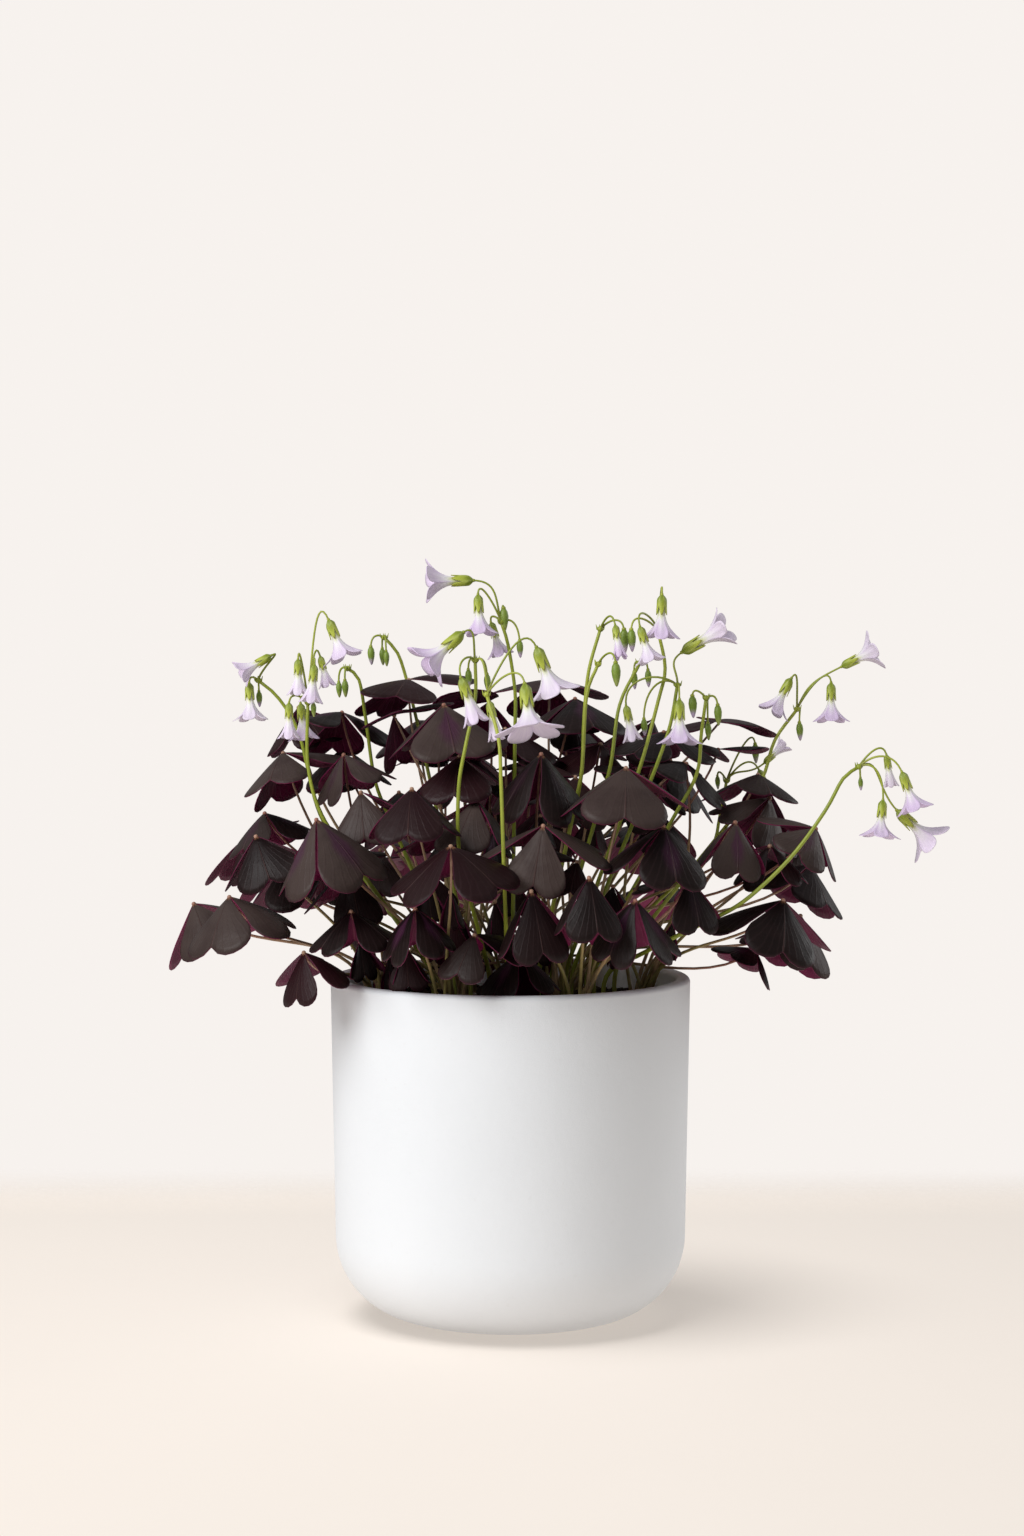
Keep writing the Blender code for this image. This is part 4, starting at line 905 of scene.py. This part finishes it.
def fine_corolla(name, base, facing, size, opening, number, materials):
    chance = random.Random(500 + number)
    curl = 0.9 + 0.5 * chance.random()
    tip = (2.8 + 6.4 * opening, 21.0 - 1.2 * opening)
    notch = (2.3 + 3.4 * opening, 15.4 - 0.2 * opening)

    def shape(s, within):
        lobe = 1.0 - within**2.8
        end_r = notch[0] + (tip[0] - notch[0]) * lobe
        end_z = notch[1] + (tip[1] - notch[1]) * lobe
        flare = 1.0 + 1.15 * min(opening, 1.3) * curl
        opened = np.maximum(s - 0.16, 0) ** flare / 0.84**flare
        radius = 0.95 + 0.55 * np.minimum(s * 4, 1.0) + (end_r - 1.5) * opened
        flute = 1.0 - 0.10 * within * np.clip(s * 2 - 0.4, 0, 1)
        height = 3.5 + (end_z - 3.5) * s - 1.3 * opening * np.clip(s - 0.85, 0, 1) / 0.15 * lobe
        return radius * flute, height

    heap = Heap()
    sheets = lobed(base, facing, size, PETAL_ROWS, PETAL_COLUMNS, shape, PETAL_WALL)
    add_shell(heap, *sheets, PETAL_ROWS, 0, (chance.random(), chance.random()))
    for i, side in enumerate(ring_offsets(facing, 5)):
        foot = base + facing * 5 * size * MM + side * 0.4 * MM
        top = base + facing * (12.5 + (i % 2)) * size * MM + side * 0.55 * MM
        add_tube(heap, np.linspace(foot, top, 4), [0.16 * MM] * 4, 1, sides=5)
        add_blob(heap, top, facing, 0.36 * MM, 0.6 * MM, 1, sides=6, rows=5)
    return heap.piece(name, materials)


def fine_cup(heap, base, facing, size, chance):
    """Five narrow sepals that overlap round the corolla's base, joined below."""

    def outer(s, within):
        lobe = 1.0 - within**1.5
        radius = 0.55 + 1.75 * np.minimum(s * 2.6, 1.0) ** 0.7 + 0.35 * np.clip(s - 0.6, 0, 1) - 0.18 * within
        return radius, s * (4.6 + 4.2 * lobe)

    add_shell(heap, *lobed(base, facing, size, CUP_ROWS, CUP_COLUMNS, outer, CUP_WALL), CUP_ROWS, 1, chance)


def fine_head(heap, umbel, base, facing, size, kind, number):
    chance = random.Random(700 + number)
    own = (chance.random(), chance.random())
    path = pedicel_path(umbel, base, facing, 14)
    add_tube(heap, path, np.linspace(0.5 * MM, 0.42 * MM, len(path)), 0, own, sides=7)
    add_blob(heap, base, facing, 0.75 * size * MM, 0.9 * MM, 0, chance=own)
    if kind == "bloom":
        fine_cup(heap, base, facing, size, own)
        return
    rows = [(0.5, 0.0), (1.15, 1.0), (1.4, 2.4), (1.25, 3.8), (0.85, 5.4), (0.4, 6.6), (0.0, 7.0)]
    verts, faces = lathe([(r * size * MM, z * size * MM) for r, z in rows], 10, facing, base)
    heights = (verts - base) @ facing / (7.0 * size * MM)
    heap.add(verts, faces, 2, np.stack([np.zeros(len(verts)), heights], 1), own)


def fine_scape(name, path, heads, materials, first):
    heap = Heap()
    own = ((first * 0.37) % 1.0, (first * 0.61) % 1.0)
    add_tube(heap, path, np.linspace(SCAPE_RADIUS, SCAPE_RADIUS * 0.72, len(path)), 0, own)
    add_blob(heap, path[-1], UP, 1.5 * MM, 1.3 * MM, 0, chance=own)
    for i in range(4):
        way = heading_vector(90 * i + 40 * first)
        foot = path[-1] - UP * 0.6 * MM
        bract = np.array([foot, foot + (way * 1.4 + UP * 0.6) * MM, foot + (way * 2.0 + UP * 2.6) * MM])
        add_tube(heap, bract, [0.5 * MM, 0.45 * MM, 0.1 * MM], 0, own, sides=5)
    for i, (kind, base, facing, size, _, umbel) in enumerate(heads):
        fine_head(heap, umbel, base, facing, size, kind, first * 20 + i)
    return heap.piece(name, materials)


# Materials
class Look:
    """Builds one procedural Principled material with a few short calls."""

    def __init__(self, name, rough, specular=0.5, sheen=0.0):
        self.material = bpy.data.materials.new(name)
        self.material.use_nodes = True
        self.tree = self.material.node_tree
        self.shader = self.tree.nodes["Principled BSDF"]
        self.shader.inputs["Roughness"].default_value = rough
        self.shader.inputs["Specular IOR Level"].default_value = specular
        if sheen:
            self.shader.inputs["Sheen Weight"].default_value = sheen

    def node(self, kind, **values):
        made = self.tree.nodes.new(kind)
        for key, value in values.items():
            setattr(made, key, value)
        return made

    def feed(self, socket, value):
        if hasattr(value, "is_linked") or hasattr(value, "node"):
            self.tree.links.new(value, socket)
        elif isinstance(value, tuple) and len(value) == 3 and socket.type == "RGBA":
            socket.default_value = (*value, 1.0)
        else:
            socket.default_value = value

    def parts(self, vector):
        split = self.node("ShaderNodeSeparateXYZ")
        self.feed(split.inputs[0], vector)
        return split.outputs[0], split.outputs[1]

    def uv(self, layer):
        return self.parts(self.node("ShaderNodeUVMap", uv_map=layer).outputs[0])

    def math(self, operation, a, b=0.0, c=0.0):
        made = self.node("ShaderNodeMath", operation=operation)
        for socket, value in zip(made.inputs, (a, b, c)):
            self.feed(socket, value)
        return made.outputs[0]

    def plus(self, a, b):
        return self.math("ADD", a, b)

    def times(self, a, b):
        return self.math("MULTIPLY", a, b)

    def ramp(self, value, low, high, start=0.0, stop=1.0):
        made = self.node("ShaderNodeMapRange", interpolation_type="SMOOTHSTEP")
        for socket, v in zip(made.inputs, (value, low, high, start, stop)):
            self.feed(socket, v)
        return made.outputs[0]

    def mix(self, share, a, b):
        made = self.node("ShaderNodeMix", data_type="RGBA")
        self.feed(made.inputs[0], share)
        self.feed(made.inputs[6], a)
        self.feed(made.inputs[7], b)
        return made.outputs[2]

    def noise(self, scale, detail=3.0, rough=0.5):
        place = self.node("ShaderNodeTexCoord")
        made = self.node("ShaderNodeTexNoise")
        self.feed(made.inputs["Vector"], place.outputs["Object"])
        self.feed(made.inputs["Scale"], scale)
        self.feed(made.inputs["Detail"], detail)
        self.feed(made.inputs["Roughness"], rough)
        return made.outputs[0]

    def glow(self, colour, strength):
        self.shader.inputs["Emission Color"].default_value = (*colour, 1.0)
        self.shader.inputs["Emission Strength"].default_value = strength

    def finish(self, colour, height=None, depth=0.0002, rough=None):
        self.feed(self.shader.inputs["Base Color"], colour)
        if rough is not None:
            self.feed(self.shader.inputs["Roughness"], rough)
        if height is not None:
            bump = self.node("ShaderNodeBump")
            self.feed(bump.inputs["Height"], height)
            bump.inputs["Distance"].default_value = depth
            self.feed(self.shader.inputs["Normal"], bump.outputs[0])
        return self.material


def leaf_veins(look):
    """(distance from the rib, reach, veins) from a leaflet's own coordinates."""
    u, reach = look.uv("place")
    off = look.math("ABSOLUTE", look.math("MULTIPLY_ADD", u, 2.0, -1.0))
    sway = look.times(look.noise(90.0), 5.0)
    fan = look.math("MULTIPLY_ADD", off, 34.0, look.math("MULTIPLY_ADD", reach, -6.0, sway))
    lines = look.ramp(look.math("SINE", fan), 0.55, 1.0)
    return off, reach, look.times(lines, look.ramp(reach, 0.15, 0.5))


def leaf_upper():
    look = Look("leaf_upper", 0.5, 0.16)
    off, reach, lines = leaf_veins(look)
    tone, blotch = look.uv("chance")
    cloud = look.noise(70.0)
    base = look.mix(look.ramp(tone, 0.50, 0.95), (0.0050, 0.0019, 0.0021), (0.066, 0.046, 0.041))
    base = look.mix(look.ramp(blotch, 0.45, 0.1, 0.0, 0.7), base, (0.030, 0.0050, 0.009))
    base = look.mix(look.ramp(cloud, 0.42, 0.72, 0.0, 0.4), base, (0.017, 0.0058, 0.0064))
    # Painted sheen: the outer part of each leaflet is pulled toward a lighter grey-brown.
    base = look.mix(look.ramp(reach, 0.2, 0.95, 0.0, 0.25), base, (0.028, 0.017, 0.015))
    away = look.math("ABSOLUTE", look.math("SUBTRACT", reach, 0.42))
    patch = look.ramp(look.plus(off, away), 0.60, 0.22)
    patch = look.times(patch, look.ramp(blotch, 0.62, 0.95, 0.0, 0.7))
    base = look.mix(patch, base, (0.062, 0.015, 0.045))
    base = look.mix(look.times(lines, 0.12), base, (0.055, 0.030, 0.032))
    rib = look.ramp(off, 0.03, 0.006, 0.0, 0.45)
    base = look.mix(rib, base, (0.085, 0.040, 0.038))
    hub = look.ramp(reach, 0.09, 0.03, 0.0, 0.7)
    base = look.mix(hub, base, (0.30, 0.14, 0.075))
    edge = look.ramp(look.math("MAXIMUM", off, reach), 0.955, 1.0, 0.0, 0.5)
    base = look.mix(edge, base, (0.055, 0.010, 0.024))
    relief = look.plus(look.times(lines, -0.10), look.times(rib, -1.0))
    relief = look.plus(relief, look.times(look.noise(700.0, 3.0), 0.2))
    relief = look.plus(relief, look.times(cloud, 1.5))
    rough = look.ramp(cloud, 0.3, 0.7, 0.38, 0.52)
    return look.finish(base, relief, 0.0005, rough)


def leaf_under():
    look = Look("leaf_under", 0.5, 0.2, sheen=0.03)
    off, _, lines = leaf_veins(look)
    tone, _ = look.uv("chance")
    base = look.mix(look.ramp(look.noise(60.0), 0.3, 0.7), (0.200, 0.0060, 0.066), (0.110, 0.004, 0.036))
    base = look.mix(look.ramp(tone, 0.2, 1.0, 0.45, 0.0), base, (0.050, 0.005, 0.019))
    base = look.mix(look.times(lines, 0.3), base, (0.19, 0.014, 0.070))
    base = look.mix(look.ramp(off, 0.05, 0.012, 0.0, 0.7), base, (0.22, 0.04, 0.085))
    relief = look.plus(lines, look.times(look.noise(800.0, 2.0), 0.5))
    return look.finish(base, relief, 0.00012)


def leaf_stalk():
    look = Look("leaf_stem", 0.45, 0.4)
    _, along = look.uv("place")
    tone, warm = look.uv("chance")
    low = look.mix(look.ramp(tone, 0.2, 0.8), (0.34, 0.29, 0.095), (0.46, 0.32, 0.175))
    high = look.mix(look.ramp(warm, 0.2, 0.8), (0.48, 0.29, 0.20), (0.35, 0.15, 0.11))
    base = look.mix(look.ramp(along, 0.25, 0.95), low, high)
    base = look.mix(look.ramp(along, 0.16, 0.0, 0.0, 0.6), base, (0.085, 0.058, 0.028))
    base = look.mix(look.ramp(look.noise(240.0), 0.4, 0.7, 0.0, 0.35), base, (0.14, 0.085, 0.040))
    return look.finish(base, look.noise(1500.0), 0.00005)


def green_stem():
    look = Look("flower_stem", 0.42, 0.5)
    _, along = look.uv("place")
    tone, _ = look.uv("chance")
    base = look.mix(look.ramp(tone, 0.0, 1.0), (0.30, 0.36, 0.030), (0.43, 0.48, 0.06))
    base = look.mix(look.ramp(look.noise(140.0), 0.35, 0.75, 0.0, 0.4), base, (0.19, 0.25, 0.03))
    base = look.mix(look.ramp(along, 0.30, 0.0, 0.0, 0.6), base, (0.22, 0.20, 0.07))
    return look.finish(base, look.noise(1500.0), 0.00005)


def green_cup():
    look = Look("sepals", 0.45, 0.4)
    within, along = look.uv("place")
    base = look.mix(look.ramp(along, 0.05, 0.9), (0.22, 0.29, 0.022), (0.47, 0.53, 0.065))
    base = look.mix(look.ramp(within, 0.35, 1.0, 0.0, 0.5), base, (0.44, 0.50, 0.15))
    tip = look.ramp(along, 0.88, 1.0, 0.0, 0.5)
    base = look.mix(look.times(tip, look.ramp(within, 0.4, 0.1)), base, (0.24, 0.11, 0.05))
    return look.finish(base, look.noise(1200.0), 0.00005)


def bud_skin():
    look = Look("bud", 0.45, 0.5)
    _, along = look.uv("place")
    tone, _ = look.uv("chance")
    tip = look.mix(look.ramp(tone, 0.35, 0.65), (0.34, 0.40, 0.10), (0.60, 0.47, 0.66))
    base = look.mix(look.ramp(along, 0.55, 0.85), (0.20, 0.30, 0.035), tip)
    base = look.mix(look.ramp(look.noise(500.0), 0.45, 0.7, 0.0, 0.4), base, (0.30, 0.36, 0.09))
    return look.finish(base, look.noise(1500.0), 0.00005)


def petal_skin():
    look = Look("corolla", 0.5, 0.3, sheen=0.15)
    within, along = look.uv("place")
    tone, _ = look.uv("chance")
    pale = look.mix(look.ramp(tone, 0.3, 1.0), (0.80, 0.70, 0.84), (0.70, 0.55, 0.78))
    base = look.mix(look.ramp(along, 0.36, 0.85), (0.86, 0.85, 0.84), pale)
    base = look.mix(look.ramp(along, 0.50, 0.22), base, (0.58, 0.64, 0.15))
    veins = look.ramp(look.math("SINE", look.times(within, 19.0)), 0.6, 1.0)
    veins = look.times(veins, look.ramp(along, 0.30, 0.7, 0.0, 0.16))
    base = look.mix(veins, base, (0.52, 0.36, 0.68))
    base = look.mix(look.ramp(within, 0.75, 1.0, 0.0, 0.3), base, (0.56, 0.43, 0.70))
    # Painted light: a faint pale lilac glow stands in for light that shines through the thin petals.
    look.glow((0.80, 0.70, 0.84), 0.07)
    return look.finish(base)


def anther():
    look = Look("anther", 0.6)
    return look.finish(look.mix(look.noise(900.0), (0.70, 0.66, 0.30), (0.52, 0.55, 0.20)))


def pot_skin():
    look = Look("pot_glaze", 0.62, 0.35)
    cloud = look.noise(14.0, 4.0)
    grain = look.noise(2600.0, 2.0)
    base = look.mix(look.ramp(cloud, 0.3, 0.7), (0.825, 0.855, 0.890), (0.848, 0.878, 0.913))
    base = look.mix(look.ramp(look.noise(420.0, 2.0), 0.66, 0.74, 0.0, 0.10), base, (0.70, 0.70, 0.70))
    relief = look.plus(look.times(grain, 0.3), look.times(look.noise(300.0), 0.6))
    return look.finish(base, relief, 0.00022, look.ramp(cloud, 0.2, 0.8, 0.58, 0.68))


def soil_skin():
    look = Look("soil", 0.95, 0.2)
    base = look.mix(look.noise(420.0, 6.0, 0.7), (0.012, 0.008, 0.006), (0.075, 0.050, 0.034))
    base = look.mix(look.ramp(look.noise(800.0, 2.0), 0.62, 0.7, 0.0, 0.7), base, (0.16, 0.12, 0.085))
    return look.finish(base, look.noise(500.0, 6.0, 0.7), 0.002)


def floor_skin():
    """A pale matte floor with a glow of its own, that fades into the backdrop behind and far out."""
    look = Look("floor", 0.9, 0.1)
    look.glow(FLOOR_GLOW, 1.0)
    base = look.mix(look.ramp(look.noise(3.0), 0.3, 0.7), FLOOR_NEAR, FLOOR_FAR)
    x, y = look.parts(look.node("ShaderNodeTexCoord").outputs["Object"])
    out = look.plus(look.times(x, x), look.times(y, y))
    shown = look.times(look.ramp(y, 0.40, 0.24), look.ramp(out, 0.80, 0.30))
    look.feed(look.shader.inputs["Alpha"], shown)
    return look.finish(base, look.noise(60.0), 0.0002)


# Pieces
def fine_pot(material):
    """The pot's own outline at a fine step, open and round-lipped."""
    foot, lip = POT_SIDE_RADIUS - POT_CORNER, RIM_ROUND
    below, wall = POT_HEIGHT - lip, POT_RIM_RADIUS - POT_WALL
    quarter = np.linspace(-math.pi / 2, 0, 24)
    corner = [(foot + POT_CORNER * math.cos(a), POT_CORNER + POT_CORNER * math.sin(a)) for a in quarter]
    flare, rise = POT_RIM_RADIUS - POT_SIDE_RADIUS, below - POT_CORNER
    sides = [(POT_SIDE_RADIUS + flare * t, POT_CORNER + rise * t) for t in np.linspace(0.06, 1, 14)]
    turns = np.linspace(0, math.pi / 2, 7)
    lip_out = [(POT_RIM_RADIUS - lip + lip * math.cos(a), below + lip * math.sin(a)) for a in turns[1:]]
    lip_in = [(wall + lip - lip * math.sin(a), below + lip * math.cos(a)) for a in turns]
    inside = [(wall - 2 * MM * t, below - 90 * MM * t) for t in (0.1, 0.4, 0.7, 1.0)]
    rings = [(0.0, 0.0), *corner, *sides, *lip_out, *lip_in, *inside, (0.03, 0.03), (0.0, 0.03)]
    verts, faces = lathe(rings, POT_TURNS)
    made = piece("white_pot", verts, faces, [material], [0] * len(faces))
    made.data.set_sharp_from_angle(angle=math.radians(60))
    return made


def fine_soil(material):
    """Crumbly soil whose top stays below the rim, with loose crumbs on it."""
    heap = Heap()
    top = POT_RIM_RADIUS - POT_WALL - GAP
    rings, sides = SOIL_RINGS, SOIL_SIDES
    rng = random.Random(77)
    verts = [np.array((0, 0, SOIL_TOP))]
    for r in range(1, rings + 1):
        for i in range(sides):
            a = 2 * math.pi * (i + 0.5 * (r % 2)) / sides
            radius = (top - 1.2 * MM) * r / rings
            height = SOIL_TOP + rng.uniform(-1.4, 1.2) * MM
            verts.append(np.array((radius * math.cos(a), radius * math.sin(a), height)))
    faces = [(0, 1 + i, 1 + (i + 1) % sides) for i in range(sides)]
    for r in range(rings - 1):
        inner, outer = 1 + r * sides, 1 + (r + 1) * sides
        for i in range(sides):
            j = (i + 1) % sides
            faces.append((inner + j, inner + i, outer + j, outer + i))
    last, skirt = 1 + (rings - 1) * sides, len(verts)
    for i in range(sides):
        edge = verts[last + i]
        verts.append(np.array((edge[0] * 0.985, edge[1] * 0.985, SOIL_TOP - SOIL_DEPTH)))
    faces += [(skirt + (i + 1) % sides, last + (i + 1) % sides, last + i, skirt + i) for i in range(sides)]
    faces.append(tuple(range(skirt, skirt + sides)))
    heap.add(verts, faces, 0, np.zeros((len(verts), 2)))
    for _ in range(CRUMBS):
        a, r = rng.uniform(0, 2 * math.pi), (top - 4 * MM) * math.sqrt(rng.random())
        size = rng.uniform(0.5, 1.6) * MM
        way = unit(np.array((rng.uniform(-1, 1), rng.uniform(-1, 1), rng.uniform(-0.4, 1))))
        at = np.array((r * math.cos(a), r * math.sin(a), SOIL_TOP + size * 0.4))
        add_blob(heap, at, way, size, size * rng.uniform(0.6, 1.5), 0, sides=5, rows=4)
    made = heap.piece("potting_soil", [material])
    made.data.shade_flat()
    return made


def fine_crown(heap, at, number):
    """A scaly rhizome tip, mostly hidden among the leaf stems."""
    rings = [(4.2, -13), (5.9, -8), (6.0, -4), (5.4, -0.6), (4.4, 1.3), (2.4, 2.4), (0.0, 2.6)]
    verts, faces = lathe([(r * MM, z * MM) for r, z in rings], 14, UP, at)
    heap.add(verts, faces, 2, np.tile((0.0, 0.05), (len(verts), 1)), ((number * 0.3) % 1, 0.2))


def inner_leaves(space, crowns, leaves):
    """Small leaves deep among the stems, wherever there is room, so that the plant is dense inside."""
    rng = random.Random(SEED + 5)
    for i in range(INNER_LEAVES):
        azimuth = (i * GOLDEN_ANGLE) % 360.0
        level = i % 4
        x, y, _ = heading_vector(azimuth) * (rng.uniform(10, 78) if level else rng.uniform(50, 88))
        z = rng.uniform(166, 200) if level % 2 else rng.uniform(200, 235) if level else rng.uniform(158, 172)
        leaf = Leaf(x, y, z, azimuth + rng.uniform(-60, 60), rng.uniform(58, 76), 8, rng.uniform(15, 23))
        home = rng.randrange(len(crowns))
        root = crowns[home] + heading_vector(rng.uniform(0, 360)) * 2.2 * MM - UP * ROOT_DEPTH
        moves = random.Random(SEED + 700 + i)
        for trial in range(INNER_TRIES):
            shape = Grown(leaf, random.Random(SEED + 700 + i), moves, 0.25 * trial)
            verts, faces, _ = blade_mesh(shape, 0.0)
            if not space.clear(verts, faces, "inner"):
                continue
            verts, faces = leaf_mesh(shape, root, 0.0)
            if space.clear(verts, faces, f"crown{home}", FUSED_BELOW):
                space.add(verts, faces, f"crown{home}", FUSED_BELOW)
                leaves.append((home, root, shape))
                break


def dress():
    """Every piece of the plant and the pot, each standing for its CAD node."""
    crowns = crown_places()
    space = Space()
    space.add(*lathe(pot_rings(), POT_SIDES), "pot", 1.0)
    for number, at in enumerate(crowns):
        room = hole(CROWN_RADIUS + 1.2 * MM, CROWN_SIDES, at, 13 * MM)
        space.add(*room, f"crown{number}", 1.0)
    scapes = settle_scapes(space)
    leaves = settle_leaves(space, crowns)
    inner_leaves(space, crowns, leaves)
    made = [(fine_pot(pot_skin()), "pot", "pot"), (fine_soil(soil_skin()), "soil", "soil")]
    skins = [leaf_upper(), leaf_under(), leaf_stalk()]
    for number, at in enumerate(crowns):
        heap = Heap()
        fine_crown(heap, at, number)
        for index, (home, root, shape) in enumerate(leaves):
            if home == number:
                fine_leaf(heap, shape, root, index)
        mark = f"{number + 1:02d}"
        made.append((heap.piece(f"leaves_{mark}", skins), f"leaf_clump_{mark}", "leaf"))
    greens = [green_stem(), green_cup(), bud_skin()]
    lilac = [petal_skin(), anther()]
    bloom = 0
    for first, (name, path, _, heads) in enumerate(scapes):
        dense = smooth_path(list(path), 4 * MM)
        stem = fine_scape(f"stem_{name}", dense, heads, greens, first)
        made.append((stem, f"flower_stem_{name}", "stem"))
        blooms = [h[1:5] for h in heads if h[0] == "bloom"]
        for number, place in enumerate(blooms, 1):
            bloom += 1
            flower = fine_corolla(f"flower_{name}_{number}", *place, bloom, lilac)
            made.append((flower, f"corolla_{name}_{number}", "petal"))
    for piece_made, node, slot in made:
        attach(piece_made, "root")
        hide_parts(node)


def light(name, at, toward, size, power):
    """An area light that looks at a target. It gives back its light linking."""
    data = bpy.data.lights.new(name, "AREA")
    data.shape = "RECTANGLE"
    data.size, data.size_y = size
    data.energy = power
    made = bpy.data.objects.new(name, data)
    made.location = at
    made.rotation_euler = (Vector(toward) - Vector(at)).to_track_quat("-Z", "Y").to_euler()
    bpy.context.scene.collection.objects.link(made)
    return made.light_linking


def group(name, pieces, state="INCLUDE"):
    """A collection that tells a light which pieces it takes in or leaves out."""
    made = bpy.data.collections.new(name)
    for one in pieces:
        made.objects.link(one)
    for entry in made.collection_objects:
        entry.light_linking.link_state = state
    return made


def backdrop(scene):
    """A pale backdrop that the camera sees, and a weaker neutral fill that lights the plant."""
    world = bpy.data.worlds.new("studio")
    world.use_nodes = True
    tree = world.node_tree
    fill = tree.nodes["Background"]
    place = tree.nodes.new("ShaderNodeTexCoord")
    split = tree.nodes.new("ShaderNodeSeparateXYZ")
    height = tree.nodes.new("ShaderNodeMapRange")
    height.inputs["From Min"].default_value = -0.5
    height.inputs["From Max"].default_value = 0.3
    shade = tree.nodes.new("ShaderNodeMix")
    shade.data_type = "RGBA"
    shade.inputs[6].default_value = (*FILL_LOW, 1.0)
    shade.inputs[7].default_value = (*FILL, 1.0)
    tree.links.new(place.outputs["Generated"], split.inputs[0])
    tree.links.new(split.outputs[2], height.inputs["Value"])
    tree.links.new(height.outputs[0], shade.inputs[0])
    tree.links.new(shade.outputs[2], fill.inputs[0])
    seen = tree.nodes.new("ShaderNodeBackground")
    seen.inputs[0].default_value = (*BACKDROP, 1.0)
    which = tree.nodes.new("ShaderNodeMixShader")
    path = tree.nodes.new("ShaderNodeLightPath")
    tree.links.new(path.outputs["Is Camera Ray"], which.inputs[0])
    tree.links.new(fill.outputs[0], which.inputs[1])
    tree.links.new(seen.outputs[0], which.inputs[2])
    tree.links.new(which.outputs[0], tree.nodes["World Output"].inputs[0])
    scene.world = world


def studio():
    """A pale floor, soft light from the left and the camera at the photo's angle."""
    scene = bpy.context.scene
    scene.view_settings.view_transform = "Standard"
    backdrop(scene)
    verts, faces = lathe([(FLOOR_RADIUS, 0.0), (FLOOR_RADIUS, 0.0001)], 96, UP, np.array((0, 0, -0.0006)))
    floor = piece("floor", verts, faces, [floor_skin()], [0] * len(faces), smooth=False)
    key = light("key", *KEY)
    edge = light("edge", *EDGE)
    key.receiver_collection = edge.receiver_collection = group("not_on_floor", [floor], "EXCLUDE")
    low = light("floor_key", *FLOOR_KEY)
    low.receiver_collection = group("on_floor", [floor])
    low.blocker_collection = group("pot_shadow", [bpy.data.objects["white_pot"]])
    camera = bpy.data.cameras.new("photo_camera")
    camera.sensor_width = SENSOR
    camera.lens = LENS
    made = bpy.data.objects.new("photo_camera", camera)
    made.location = CAMERA_AT
    made.rotation_euler = (math.radians(90 - CAMERA_DOWN), 0, 0)
    scene.collection.objects.link(made)
    scene.camera = made


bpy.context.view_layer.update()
dress()
studio()
